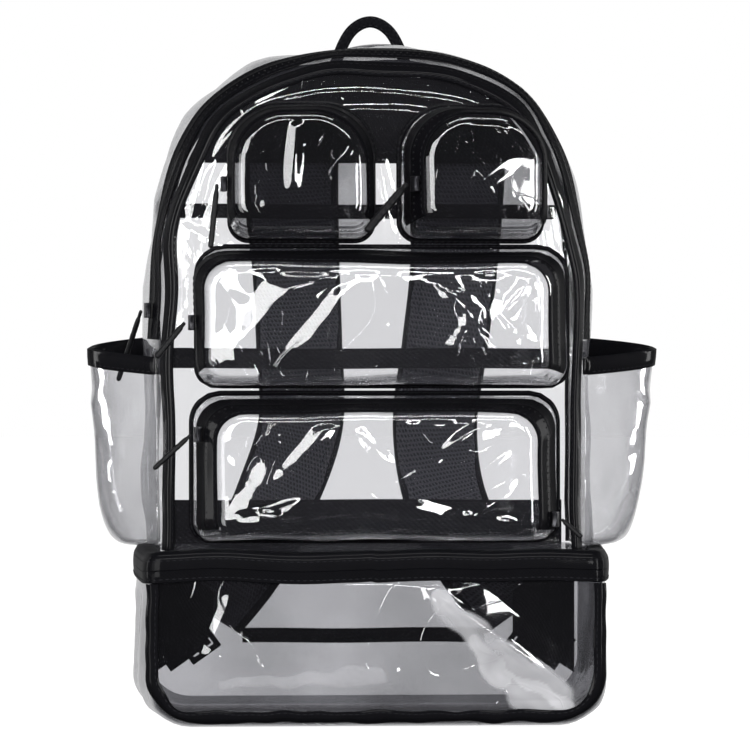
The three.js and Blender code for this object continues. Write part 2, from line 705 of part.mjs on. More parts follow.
// A slider on a zip, turned to the run of its wall, with its moulded pull hanging from the outer face
function addPull(pull, place) {
  const seat = place(pull.share);
  const ahead = place(pull.share + SLIDER.shareStep).sub(place(pull.share - SLIDER.shareStep));
  const lean = new THREE.Vector3(...LEANS[pull.name]).normalize();
  const side = Math.sign(lean.x);
  const body = new THREE.BoxGeometry(SLIDER.thickness, SLIDER.depth, SLIDER.height);
  const slider = addPiece(`slider_${pull.name}`, closed(body), blackMetal);
  slider.position.copy(seat);
  slider.position.x += side * (SLIDER.lift + SLIDER.thickness / 2);
  slider.rotation.z = Math.atan(-ahead.x / ahead.y);

  const { capSteps, sides } = GRIP;
  const grip = new THREE.CapsuleGeometry(pull.radius, pull.length - 2 * pull.radius, capSteps, sides);
  const hanging = addPiece(`pull_${pull.name}`, closed(grip), moulded);
  hanging.position.copy(seat).addScaledVector(lean, pull.length / 2);
  hanging.position.x += side * (SLIDER.lift + SLIDER.thickness + GAP + pull.radius);
  hanging.quaternion.setFromUnitVectors(forward.clone().negate(), lean);
}

function addPulls() {
  for (const pull of PULLS) {
    const box = pocketBox(POCKETS[pull.pocket]);
    addPull(pull, (share) => boxPlace(box, pull.station, share, -GAP - TAPE));
  }
  const { z } = MAIN_PULL;
  addPull(MAIN_PULL, (share) => {
    const x = -domeHalfWidth(z, share, -GAP - TAPE);
    return new THREE.Vector3(x, lerp(frontPanelY(z), BODY.backY, share), z);
  });
}

addMainCompartment();
addBackPanel();
addBackTapes();
addBaseCompartment();
addPockets();
addSidePockets();
addHandle();
addStrap("left", -1);
addStrap("right", 1);
addPulls();

export default backpack;
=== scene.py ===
import math
import random
from bisect import bisect

import bpy
from mathutils import Matrix, Vector, noise


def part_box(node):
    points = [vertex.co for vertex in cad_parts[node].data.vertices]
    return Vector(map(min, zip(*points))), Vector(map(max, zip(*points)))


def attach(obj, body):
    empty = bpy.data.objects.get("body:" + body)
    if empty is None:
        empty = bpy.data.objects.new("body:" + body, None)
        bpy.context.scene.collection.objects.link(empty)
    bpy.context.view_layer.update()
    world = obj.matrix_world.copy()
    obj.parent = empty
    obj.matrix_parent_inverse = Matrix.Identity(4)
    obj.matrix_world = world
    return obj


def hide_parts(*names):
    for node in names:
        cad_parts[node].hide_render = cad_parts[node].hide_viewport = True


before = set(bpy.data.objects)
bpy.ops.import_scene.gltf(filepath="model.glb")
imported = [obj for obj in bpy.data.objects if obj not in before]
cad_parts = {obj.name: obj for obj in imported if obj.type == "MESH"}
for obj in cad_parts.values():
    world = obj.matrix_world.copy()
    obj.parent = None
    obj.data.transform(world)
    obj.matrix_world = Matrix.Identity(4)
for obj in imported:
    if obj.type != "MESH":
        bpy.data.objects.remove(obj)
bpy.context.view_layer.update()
noise.seed_set(2)  # vector noise would start from the clock
print("frame loaded,", len(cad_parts), "nodes")


# small sums used all over
def lerp(a, b, t):
    return a + (b - a) * t


def clamp(value, low=0.0, high=1.0):
    return max(low, min(high, value))


def hump(t):  # 0 at both ends, 1 in the middle
    return 4 * t * (1 - t)


def ease(t):
    t = clamp(t)
    return t * t * (3 - 2 * t)


def calmEdges(u, v):  # 0 at a sheet's edges, 1 from a little inside them
    return ease(hump(u) * 2) * ease(hump(v) * 2)


# shared node groups and materials

def addNode(tree, kind, inputs=None, **settings):
    node = tree.nodes.new(kind)
    for key, value in settings.items():
        setattr(node, key, value)
    for key, value in (inputs or {}).items():
        if isinstance(value, bpy.types.NodeSocket):
            tree.links.new(value, node.inputs[key])
        else:
            node.inputs[key].default_value = value
    return node


def sums(tree, operation, first, second=0.0, third=0.0):
    node = addNode(tree, "ShaderNodeMath", {0: first, 1: second, 2: third}, operation=operation)
    return node.outputs[0]


def ramp(tree, value, given, wanted, **settings):  # stretches the given range of a value to the wanted one
    inputs = {0: value, 1: given[0], 2: given[1], 3: wanted[0], 4: wanted[1]}
    return addNode(tree, "ShaderNodeMapRange", inputs, **settings).outputs[0]


def grain(tree, vector, scale, detail, distortion=0.0):
    inputs = {"Vector": vector, "Scale": scale, "Detail": detail, "Distortion": distortion}
    return addNode(tree, "ShaderNodeTexNoise", inputs).outputs[0]


def newGroup(name, values, outputs):
    group = bpy.data.node_groups.new(name, "ShaderNodeTree")
    group.interface.new_socket("Vector", in_out="INPUT", socket_type="NodeSocketVector")
    for socketName, value in values.items():
        socket = group.interface.new_socket(socketName, in_out="INPUT", socket_type="NodeSocketFloat")
        socket.default_value = value
    for socketName in outputs:
        group.interface.new_socket(socketName, in_out="OUTPUT", socket_type="NodeSocketFloat")
    return group, group.nodes.new("NodeGroupInput").outputs, group.nodes.new("NodeGroupOutput").inputs


def makeWeaveGroup():
    group, given, result = newGroup(
        "plainWeave", {"Across Pitch": 0.001, "Along Pitch": 0.001}, ["Height", "Tone And Shade"])
    vector = given["Vector"]
    split = addNode(group, "ShaderNodeSeparateXYZ", {0: vector}).outputs

    def threads(way, pitch):
        return sums(group, "SINE", sums(group, "MULTIPLY", sums(group, "DIVIDE", way, given[pitch]), math.pi))

    crossing = sums(group, "MULTIPLY", threads(split[0], "Across Pitch"), threads(split[1], "Along Pitch"))
    over = sums(group, "MULTIPLY_ADD", crossing, 0.5, 0.5)
    height = sums(group, "MULTIPLY_ADD", grain(group, vector, 1800.0, 3.0), 0.3, over)
    patches = grain(group, vector, 60.0, 4.0)
    # raised threads lighter and sunken ones darker: painted shade between the threads, over random patches of
    # tone
    tone = sums(group, "MULTIPLY_ADD", patches, 0.6, sums(group, "MULTIPLY", over, 0.4))
    group.links.new(height, result["Height"])
    group.links.new(tone, result["Tone And Shade"])
    return group


def makeAirMeshGroup():
    group, given, result = newGroup("airMesh", {"Cell": 0.004}, ["Height", "Tone And Shade"])
    vector = given["Vector"]
    split = addNode(group, "ShaderNodeSeparateXYZ", {0: vector}).outputs
    row = sums(group, "DIVIDE", split[1], given["Cell"])
    column = sums(group, "DIVIDE", split[0], given["Cell"])
    skewed = sums(group, "MULTIPLY_ADD", row, 0.5, column)  # slants the square grid into hexagons
    cells = addNode(group, "ShaderNodeCombineXYZ", {0: skewed, 1: sums(group, "MULTIPLY", row, 0.87)})
    inputs = {"Vector": cells.outputs[0], "Scale": 1.0, "Randomness": 0.18}
    comb = addNode(group, "ShaderNodeTexVoronoi", inputs, feature="DISTANCE_TO_EDGE")
    hole = ramp(group, comb.outputs[0], (0.1, 0.3), (1.0, 0.0))
    fuzz = grain(group, vector, 900.0, 3.0)
    # threads lighter, cell middles darker: painted shade in the mesh's holes, with a random fuzz
    tone = sums(group, "MULTIPLY_ADD", fuzz, 0.25, sums(group, "MULTIPLY", hole, 0.75))
    group.links.new(sums(group, "MULTIPLY_ADD", fuzz, 0.25, hole), result["Height"])
    group.links.new(tone, result["Tone And Shade"])
    return group


def makeFilmGroup():
    group, given, result = newGroup(
        "clearFilm", {"Ripple Scale": 28.0, "Crease Scale": 42.0, "Crease Height": 0.5},
        ["Height", "Haze", "White And Highlight Breakup"])
    vector = given["Vector"]
    ripple = grain(group, vector, given["Ripple Scale"], 1.5, 0.6)
    folds = grain(group, vector, given["Crease Scale"], 2.0, 1.4)
    crease = sums(group, "ABSOLUTE", sums(group, "SUBTRACT", folds, 0.5))
    ridge = ramp(group, crease, (0.0, 0.014), (1.0, 0.0), interpolation_type="SMOOTHSTEP")
    haze = ramp(group, grain(group, vector, 9.0, 3.0), (0.42, 0.75), (0.0, 1.0))
    lifted = sums(group, "MULTIPLY", sums(group, "MULTIPLY", ridge, haze), given["Crease Height"])
    # a noise that breaks up the painted highlight and stress white on the folds
    whiteAndHighlightBreakup = ramp(group, grain(group, vector, 24.0, 2.0, 0.6), (0.35, 0.65), (0.0, 1.0))
    group.links.new(sums(group, "ADD", ripple, lifted), result["Height"])
    group.links.new(haze, result["Haze"])
    group.links.new(whiteAndHighlightBreakup, result["White And Highlight Breakup"])
    return group


def makeScuffGroup():
    group, given, result = newGroup("scuff", {"Grain Scale": 900.0}, ["Height", "Mask"])
    vector = given["Vector"]
    rubbed = grain(group, vector, 140.0, 5.0)
    group.links.new(grain(group, vector, given["Grain Scale"], 4.0), result["Height"])
    group.links.new(ramp(group, rubbed, (0.55, 0.72), (0.0, 1.0)), result["Mask"])
    return group


weaveGroup = makeWeaveGroup()
airMeshGroup = makeAirMeshGroup()
filmGroup = makeFilmGroup()
scuffGroup = makeScuffGroup()


def startMaterial(name, group, coordinate, values):
    material = bpy.data.materials.new(name)
    material.use_nodes = True
    tree = material.node_tree
    source = addNode(tree, "ShaderNodeTexCoord").outputs[coordinate]
    effect = addNode(tree, "ShaderNodeGroup", node_tree=group)
    tree.links.new(source, effect.inputs["Vector"])
    setSockets(effect, values)
    return material, tree, effect.outputs, tree.nodes["Principled BSDF"]


def setSockets(node, values):
    for key, value in values.items():
        node.inputs[key].default_value = value


def addBump(tree, surface, height, strength, distance):
    bump = addNode(tree, "ShaderNodeBump", {"Height": height, "Strength": strength, "Distance": distance})
    tree.links.new(bump.outputs[0], surface.inputs["Normal"])
    return bump.outputs[0]


def mixColour(tree, share, first, second):
    inputs = {0: share, 6: (*first, 1), 7: (*second, 1)}
    return addNode(tree, "ShaderNodeMix", inputs, data_type="RGBA").outputs[2]


def toneColour(tree, surface, tone, setup):
    tree.links.new(mixColour(tree, tone, setup["dark"], setup["light"]), surface.inputs["Base Color"])


cloths = {  # pitch: thread spacing across and along
    "wovenTape": {"dark": (0.0007, 0.0007, 0.0011), "light": (0.0022, 0.0022, 0.003),
                  "pitch": (0.0009, 0.0009), "rough": 0.7, "bump": 0.0003, "coat": 0.12},
    "webbing": {"dark": (0.0007, 0.0007, 0.0011), "light": (0.0028, 0.0028, 0.0037),
                "pitch": (0.0013, 0.0022), "rough": 0.7, "bump": 0.0005, "coat": 0.0},
    "zipCloth": {"dark": (0.0006, 0.0006, 0.001), "light": (0.0018, 0.0018, 0.0025),
                 "pitch": (0.0006, 0.0012), "rough": 0.62, "bump": 0.0002, "coat": 0.05},
    "sewingThread": {"dark": (0.003, 0.003, 0.004), "light": (0.014, 0.014, 0.016),
                     "pitch": (0.0002, 0.0004), "rough": 0.6, "bump": 0.0001, "coat": 0.0},
}


def clothMaterial(name):
    setup = cloths[name]
    across, along = setup["pitch"]
    material, tree, effect, surface = startMaterial(
        name, weaveGroup, "UV", {"Across Pitch": across, "Along Pitch": along})
    # base colour from the weave: painted shade between the threads, with random patches
    toneColour(tree, surface, effect["Tone And Shade"], setup)
    rough = ramp(tree, effect["Tone And Shade"], (0.0, 1.0), (setup["rough"] + 0.1, setup["rough"] - 0.1))
    tree.links.new(rough, surface.inputs["Roughness"])
    setSockets(surface, {"Specular IOR Level": 0.03, "Coat Weight": setup["coat"], "Coat Roughness": 0.1})
    addBump(tree, surface, effect["Height"], 0.7, setup["bump"])
    return material


# dark: the cell middles, darkened as painted shade in the holes; light: the threads
airMeshTone = {"dark": (0.004, 0.004, 0.006), "light": (0.06, 0.06, 0.07)}


def airMeshMaterial():
    material, tree, effect, surface = startMaterial("airMeshFabric", airMeshGroup, "UV", {"Cell": 0.0026})
    toneColour(tree, surface, effect["Tone And Shade"], airMeshTone)
    setSockets(surface, {"Roughness": 0.62, "Specular IOR Level": 0.25})
    addBump(tree, surface, effect["Height"], 0.9, 0.0011)
    return material


films = {  # cloud: how far haze dims the tint; folds: crease height, crease scale, ripple scale
    "clearPvc": {"tint": (0.978, 0.978, 0.983), "bump": 0.00008, "haze": 0.01, "cloud": 0,
                 "folds": (2.2, 14.0, 16.0)},
    "sidePvc": {"tint": (0.93, 0.93, 0.938), "bump": 0.0001, "haze": 0.03, "cloud": 0.1,
                "folds": (1.6, 14.0, 16.0)},
    # a darker copy of the clear film: painted shade that darkens the small upper pockets
    "shadedUpperPvc": {"tint": (0.72, 0.72, 0.73), "bump": 0.00008, "haze": 0.01, "cloud": 0.35,
                 "folds": (2.2, 14.0, 16.0)},
    # a darker copy of the clear film: painted shade inside the base compartment
    "shadedBasePvc": {"tint": (0.665, 0.665, 0.68), "bump": 0.00012, "haze": 0.03, "cloud": 0.22,
                "folds": (3.0, 12.0, 20.0)},
}
filmGloss = {"Base Color": (0.06, 0.06, 0.07, 1), "IOR": 9.0, "Roughness": 0.04}
# the white of the folds: painted highlight and painted reflection, with stress whitening
whiteAndHighlightColour = (0.28, 0.28, 0.29, 1)


def clearMaterial(name):  # folds show a flat white where the mesh's point attribute says: painted highlights and painted reflections, along with stress whitening of the film
    setup = films[name]
    values = dict(zip(("Crease Height", "Crease Scale", "Ripple Scale"), setup["folds"]))
    material, tree, effect, surface = startMaterial(name, filmGroup, "Object", values)
    setSockets(surface, filmGloss)
    normal = addBump(tree, surface, effect["Height"], 1.0, setup["bump"])
    through = addNode(tree, "ShaderNodeBsdfTransparent", {"Color": (*setup["tint"], 1)})
    if setup["cloud"]:
        dim = [part * (1 - setup["cloud"]) for part in setup["tint"]]
        tree.links.new(mixColour(tree, effect["Haze"], setup["tint"], dim), through.inputs["Color"])
    facing = addNode(tree, "ShaderNodeLayerWeight", {"Blend": 0.5, "Normal": normal}).outputs["Facing"]
    grazing = sums(tree, "MULTIPLY_ADD", sums(tree, "POWER", facing, 2.6), 0.85, 0.05)
    share = sums(tree, "MULTIPLY_ADD", effect["Haze"], setup["haze"], grazing)
    gloss = addNode(tree, "ShaderNodeMixShader", {0: share, 1: through.outputs[0], 2: surface.outputs[0]})
    # a white diffuse laid over the folds: painted highlights and reflections, with stress whitening
    stressAndHighlight = addNode(tree, "ShaderNodeAttribute", attribute_name="stressAndHighlight").outputs["Fac"]
    white = addNode(tree, "ShaderNodeBsdfDiffuse", {"Color": whiteAndHighlightColour, "Normal": normal})
    whiteAndHighlightShare = sums(tree, "MULTIPLY", stressAndHighlight, sums(tree, "MULTIPLY_ADD", effect["White And Highlight Breakup"], 0.5, 0.5))
    blend = addNode(tree, "ShaderNodeMixShader", {0: whiteAndHighlightShare, 1: gloss.outputs[0], 2: white.outputs[0]})
    tree.links.new(blend.outputs[0], tree.nodes["Material Output"].inputs["Surface"])
    return material


hardParts = {
    "mouldedBlack": {"dark": (0.0015, 0.0015, 0.002), "light": (0.004, 0.004, 0.005),
                     "metallic": 0.0, "rough": 0.45, "grain": 1400.0},
    "blackedMetal": {"dark": (0.012, 0.012, 0.014), "light": (0.07, 0.07, 0.075),
                     "metallic": 0.7, "rough": 0.34, "grain": 2200.0},
}


def hardMaterial(name):
    setup = hardParts[name]
    values = {"Grain Scale": setup["grain"]}
    material, tree, effect, surface = startMaterial(name, scuffGroup, "Object", values)
    toneColour(tree, surface, effect["Mask"], setup)
    rough = ramp(tree, effect["Mask"], (0.0, 1.0), (setup["rough"], setup["rough"] + 0.18))
    tree.links.new(rough, surface.inputs["Roughness"])
    setSockets(surface, {"Metallic": setup["metallic"], "Specular IOR Level": 0.12})
    addBump(tree, surface, effect["Height"], 0.25, 0.0002)
    return material


clearFilm, sideFilm, shadedUpperFilm, shadedBaseFilm = (clearMaterial(name) for name in films)
wovenTape, webbing, zipCloth, sewingThread = (clothMaterial(name) for name in cloths)
mouldedBlack, blackedMetal = (hardMaterial(name) for name in hardParts)
airMesh = airMeshMaterial()
print("materials ready")


# mesh helpers

def activate(piece):
    bpy.ops.object.select_all(action="DESELECT")
    piece.select_set(True)
    bpy.context.view_layer.objects.active = piece


def startFrom(primitive, name, **settings):  # a primitive that is then shaped, alone in the selection
    bpy.ops.object.select_all(action="DESELECT")
    primitive(**settings)
    piece = bpy.context.active_object
    piece.name = piece.data.name = name
    return piece


def modify(piece, name, kind, **settings):
    modifier = piece.modifiers.new(name, kind)
    for key, value in settings.items():
        setattr(modifier, key, value)


def applyAll(piece):
    activate(piece)
    for modifier in list(piece.modifiers):
        bpy.ops.object.modifier_apply(modifier=modifier.name)


def weld(piece):
    activate(piece)
    bpy.ops.object.mode_set(mode="EDIT")
    bpy.ops.mesh.select_all(action="SELECT")
    bpy.ops.mesh.remove_doubles(threshold=0.00002)
    bpy.ops.object.mode_set(mode="OBJECT")


def closeUp(piece):  # fills open ends and turns all faces outwards
    activate(piece)
    bpy.ops.object.mode_set(mode="EDIT")
    bpy.ops.mesh.select_all(action="DESELECT")
    bpy.ops.mesh.select_mode(type="EDGE")
    bpy.ops.mesh.select_non_manifold(extend=False)
    bpy.ops.mesh.fill_holes(sides=0)
    bpy.ops.mesh.select_all(action="SELECT")
    bpy.ops.mesh.normals_make_consistent(inside=False)
    bpy.ops.object.mode_set(mode="OBJECT")


def softEdges(piece, degrees=50):
    activate(piece)
    bpy.ops.object.shade_smooth_by_angle(angle=math.radians(degrees))


def runLength(points):
    return sum((b - a).length for a, b in zip(points, points[1:]))


def bentGrid(name, columns, rows, place):  # a grid whose points go where place(u, v) says, its UVs in metres
    piece = startFrom(bpy.ops.mesh.primitive_grid_add, name,
                      x_subdivisions=columns, y_subdivisions=rows, size=2)
    shares = [((vertex.co.x + 1) / 2, (vertex.co.y + 1) / 2) for vertex in piece.data.vertices]
    wide = runLength([place(i / columns, 0.5) for i in range(columns + 1)])
    tall = runLength([place(0.5, i / rows) for i in range(rows + 1)])
    layer = piece.data.uv_layers[0].data
    for loop in piece.data.loops:
        u, v = shares[loop.vertex_index]
        layer[loop.index].uv = (u * wide, v * tall)
    for vertex, (u, v) in zip(piece.data.vertices, shares):
        vertex.co = place(u, v)
    return piece


def dress(piece, material, node):
    piece.data.materials.clear()
    piece.data.materials.append(material)
    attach(piece, "root")
    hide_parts(node)


def sheet(piece, thickness, material, node):  # given a wall thickness, smoothed and dressed
    modify(piece, "wall", "SOLIDIFY", thickness=thickness, offset=0.0)
    applyAll(piece)
    softEdges(piece)
    dress(piece, material, node)


def loft(name, section, stations, place):  # place(along, a, b) puts each section point (a, b)
    count = len(section)
    piece = bentGrid(name, count, stations, lambda u, v: place(v, *section[round(u * count) % count]))
    weld(piece)
    closeUp(piece)
    softEdges(piece)
    return piece


def stripSection(path, thickness):  # a folded tape's outline round its middle line, with rounded edges
    middle = [Vector(point) for point in path]
    left, right = [], []
    for i, point in enumerate(middle):
        before, after = middle[max(i - 1, 0)], middle[min(i + 1, len(middle) - 1)]
        along = (after - before).normalized()
        side = Vector((-along.y, along.x)) * thickness / 2
        left.append(point + side)
        right.append(point - side)
    start = middle[0] + (middle[0] - middle[1]).normalized() * thickness * 0.4
    end = middle[-1] + (middle[-1] - middle[-2]).normalized() * thickness * 0.4
    return [tuple(point) for point in [start, *left, end, *reversed(right)]]


def flatTape(width, thickness):  # the section of a tape that lies flat, a little fuller in the middle
    path = [(-width / 2, 0), (-width / 4, 0.0001), (0, 0.0001), (width / 4, 0.0001), (width / 2, 0)]
    return stripSection(path, thickness)


def joinCopies(name, template, places):  # one mesh of many small copies
    points = [vertex.co.copy() for vertex in template.data.vertices]
    faces = sorted(tuple(face.vertices) for face in template.data.polygons)  # a sphere's come in any order
    allPoints, allFaces = [], []
    for place in places:
        first = len(allPoints)
        allPoints += [place @ point for point in points]
        allFaces += [tuple(first + i for i in face) for face in faces]
    mesh = bpy.data.meshes.new(name)
    mesh.from_pydata(allPoints, [], allFaces)
    mesh.uv_layers.new(name="UVMap")
    for loop in mesh.loops:
        co = points[loop.vertex_index % len(points)]
        mesh.uv_layers[0].data[loop.index].uv = (co.x, co.y)
    piece = bpy.data.objects.new(name, mesh)
    bpy.context.scene.collection.objects.link(piece)
    softEdges(piece, 60)
    return piece


def seat(point, along, up):  # the place of a small copy: its X along the run, its Z off the surface
    x = along.normalized()
    y = up.cross(x).normalized()
    z = x.cross(y)
    turn = Matrix((x, y, z)).transposed().to_4x4()
    return Matrix.Translation(point) @ turn


def spacedSeats(route, pitch, samples=240):  # route(t) gives a point and its outward direction
    points = [route(i / samples) for i in range(samples + 1)]
    reach = [0.0]
    for (a, _), (b, _) in zip(points, points[1:]):
        reach.append(reach[-1] + (b - a).length)
    count = max(int(reach[-1] / pitch), 1)
    seats = []
    for k in range(count):
        want = (k + 0.5) * reach[-1] / count
        i = min(bisect(reach, want), samples)
        share = (want - reach[i - 1]) / max(reach[i] - reach[i - 1], 1e-9)
        a, b = points[i - 1], points[i]
        seats.append(seat(a[0].lerp(b[0], share), b[0] - a[0], a[1].lerp(b[1], share)))
    return seats


def liftedRow(place, low, high, ends=(0, 1)):  # a route on place(along, low) that faces place(along, high)
    def route(t):
        along = lerp(*ends, t)
        point = place(along, low)
        return point, place(along, high) - point
    return route


def facingRow(place, face, ends=(0, 1)):  # a route on a face that looks along Y
    def route(t):
        return place(lerp(*ends, t)), Vector((0, face, 0))
    return route


# small parts that are copied: one stitch and one zip tooth

stitchSize = {"length": 0.0029, "width": 0.0007, "pitch": 0.0042, "onTape": 0.55, "onCloth": 0.6}
toothSize = {"length": 0.0013, "width": 0.0032, "height": 0.0011, "pitch": 0.0021, "stagger": 0.0011,
             "sink": 0.0009, "taper": 0.7, "edge": 0.0002}


def makeStitch():
    stitch = startFrom(bpy.ops.mesh.primitive_uv_sphere_add, "stitch", segments=6, ring_count=4, radius=0.5)
    for vertex in stitch.data.vertices:
        x, y, z = vertex.co
        vertex.co = (z * stitchSize["length"], x * stitchSize["width"], y * stitchSize["width"] * 0.8)
    return stitch


def makeTooth():
    tooth = startFrom(bpy.ops.mesh.primitive_cube_add, "zipTooth", size=1)
    for vertex in tooth.data.vertices:
        x, y, z = vertex.co
        taper = toothSize["taper"] if z > 0 else 1.0
        vertex.co = (x * toothSize["length"] * taper, y * toothSize["width"], z * toothSize["height"])
    modify(tooth, "edge", "BEVEL", width=toothSize["edge"], segments=1)
    applyAll(tooth)
    return tooth


stitchModel = makeStitch()
toothModel = makeTooth()


def stitchRow(name, routes, node):
    seats = [place for route in routes for place in spacedSeats(route, stitchSize["pitch"])]
    dress(joinCopies(name, stitchModel, seats), sewingThread, node)


def zipTeeth(name, route, node):
    seats = []
    for i, place in enumerate(spacedSeats(route, toothSize["pitch"], 400)):
        side = toothSize["stagger"] * (1 if i % 2 else -1)
        seats.append(place @ Matrix.Translation((0, side, toothSize["height"] * 0.4)))
    dress(joinCopies(name, toothModel, seats), mouldedBlack, node)


# relief of the clear sheets

filmNoise = {"size": 12.0, "foldSize": 0.8, "foldSharp": 4, "bendSize": 9, "bend": 0.006, "swaySize": 17,
             "raggedSize": 70, "ragged": 0.004}


def filmRelief(point, seed, wave, ridge, size=filmNoise["size"]):  # soft waves and a few sharp folds
    shifted = point * size + Vector((seed * 3.7, seed * 1.9, seed * 2.3))
    fold = noise.noise(shifted * filmNoise["foldSize"] + Vector((9.1, 4.2, 7.7)))
    return wave * noise.noise(shifted) + ridge * max(0.0, 1 - abs(fold) * filmNoise["foldSharp"])


def facetPlan(seed, count, size):  # directions along which a sheet is crumpled into flat facets
    chance = random.Random(seed)
    plan = []
    for k in range(count):
        heading = Vector((chance.gauss(0, 1), chance.gauss(0, 1), chance.gauss(0, 1))).normalized()
        plan.append((heading / (size * chance.uniform(0.7, 1.4)), chance.random()))
    return plan


def facetRelief(point, plan, height):  # zigzags in each direction, which meet in straight creases
    bent = point + noise.noise_vector(point * filmNoise["bendSize"]) * filmNoise["bend"]
    return sum(height * (abs((bent.dot(heading) + start) % 1 * 2 - 1) - 0.5) for heading, start in plan)


def crumple(point, seed, setup, plan):  # waves, folds and facets together
    soft = filmRelief(point, seed, setup["wave"], setup.get("ridge", 0))
    return soft + facetRelief(point, plan, setup["facet"])


def alongFold(here, startX, startZ, endX, endZ):  # how far along a fold a place is, and how far off it
    start = Vector((startX, startZ))
    run = Vector((endX, endZ)) - start
    t = clamp((here - start).dot(run) / run.length_squared)
    return t, (here - start - run * t).length


def creaseRelief(x, z, creases):  # folds pressed into a sheet, each a ridge of two flat faces
    here, lift = Vector((x, z)), 0.0
    for *line, height, width in creases:
        t, away = alongFold(here, *line)
        fade = math.sqrt(max(hump(0.08 + 0.84 * t), 0))
        lift += height * fade * max(0.0, 1 - away / width)
    return lift


def paintHighlightAndWhite(piece, folds):  # how white each point of a sheet is near the folds, kept as a point attribute: painted highlights and painted reflections, with stress whitening
    layer = piece.data.attributes.new("stressAndHighlight", "FLOAT", "POINT")
    for vertex in piece.data.vertices:
        ragged = vertex.co + noise.noise_vector(vertex.co * filmNoise["raggedSize"]) * filmNoise["ragged"]
        here, white = Vector((ragged.x, ragged.z)), 0.0
        for *line, startWidth, endWidth, amount in folds:
            t, away = alongFold(here, *line)
            white = max(white, amount * ease((1 - away / lerp(startWidth, endWidth, t)) * 5))
        layer.data[vertex.index].value = white


def wobble(run, row):  # noise along a run
    return noise.noise(Vector((run, row, 0)))


def sway(point, seed, amount):  # how far a sewn edge wanders at a place
    drift = noise.noise_vector(point * filmNoise["swaySize"] + Vector((seed * 1.3, seed * 2.1, seed * 0.7)))
    return Vector((drift.x, 0, drift.z)) * amount


# the main compartment's form, as in the solids

body = {
    "floorZ": 0.1135, "springZ": 0.252, "domePower": 2.85,
    "frontHalf": 0.134, "backHalf": 0.144, "sideBulge": 0.012,
    "frontTop": 0.430, "backTop": 0.442, "topBulge": 0.0155,
    "frontY": -0.043, "frontLean": 0.018, "leanLimit": 1.1, "backY": 0.086,
    "wall": 0.0009, "gap": 0.0004, "cadWall": 0.0015,
    "sway": 0.0065, "swayFoot": 0.03, "calmShare": 0.35, "calmZ": (0.24, 0.31),
}
bodyDepth = body["backY"] - body["frontY"]


def frontPanelY(z):
    rise = clamp((z - body["floorZ"]) / (body["frontTop"] - body["floorZ"]), 0, body["leanLimit"])
    return body["frontY"] + body["frontLean"] * rise * rise


def archSize(share, out):  # half width and top of the dome at a share of its depth
    half = lerp(body["frontHalf"], body["backHalf"], share) + body["sideBulge"] * hump(share) + out
    top = lerp(body["frontTop"], body["backTop"], share) + body["topBulge"] * hump(share) + out
    return half, top


def archPoint(w, side, share, out):  # w: 0 at the foot, 1 at the spring line, 2 at the top
    half, top = archSize(share, out)
    x, z = half, lerp(body["floorZ"], body["springZ"], min(w, 1))
    if w > 1:
        angle = math.pi / 2 * (w - 1)
        power = 2 / body["domePower"]
        x = half * max(math.cos(angle), 0) ** power
        z = body["springZ"] + (top - body["springZ"]) * math.sin(angle) ** power
    point = Vector((side * x, lerp(frontPanelY(z), body["backY"], share), z))
    low, high = body["calmZ"]
    loose = lerp(body["calmShare"], 1, ease(1 - share * 2) * ease((z - low) / (high - low)))
    return point + sway(point, 1, body["sway"] * loose * ease((z - body["floorZ"]) / body["swayFoot"]))


archSteps = 600
archRuns = [0.0]
for step in range(archSteps):
    here, there = (archPoint(2 * (step + k) / archSteps, 1, 0.5, 0) for k in (0, 1))
    archRuns.append(archRuns[-1] + (there - here).length)


def bodyPoint(f, share, out):  # f: 0 at the left foot, 1 at the top, 2 at the right foot, by even lengths
    side = -1 if f < 1 else 1
    want = clamp(f if f < 1 else 2 - f) * archRuns[-1]
    i = clamp(bisect(archRuns, want), 1, archSteps)
    part = (want - archRuns[i - 1]) / (archRuns[i] - archRuns[i - 1])
    return archPoint(2 * (i - 1 + part) / archSteps, side, share, out)


def domeHalf(z):  # half width of the back at a height
    half, top = archSize(1, 0)
    rise = clamp((z - body["springZ"]) / (top - body["springZ"]))
    return half * (1 - rise ** body["domePower"]) ** (1 / body["domePower"])


gussetSettings = {  # calm: shares of the depth between which the film is free of the zip and the seam
    "columns": 220, "rows": 40, "from": 0.004, "to": 0.996, "wave": 0.0016, "facet": 0.0022,
    "plan": (21, 4, 0.05), "calm": (0.3, 0.4, 0.88, 0.96), "allowance": (0.002, 0.01),
}


def makeMainGusset():
    setup = gussetSettings
    plan = facetPlan(*setup["plan"])
    zipEnd, freeStart, freeEnd, seamStart = setup["calm"]

    def place(u, v):
        share = lerp(setup["from"], setup["to"], v)
        flat = bodyPoint(2 * u, share, 0)
        calm = ease((share - zipEnd) / (freeStart - zipEnd))
        calm *= ease((seamStart - share) / (seamStart - freeEnd))
        return bodyPoint(2 * u, share, -body["cadWall"] / 2 + calm * crumple(flat, 1, setup, plan))

    piece = bentGrid("main_gusset_film", setup["columns"], setup["rows"], place)
    sheet(piece, body["wall"], clearFilm, "main_gusset")


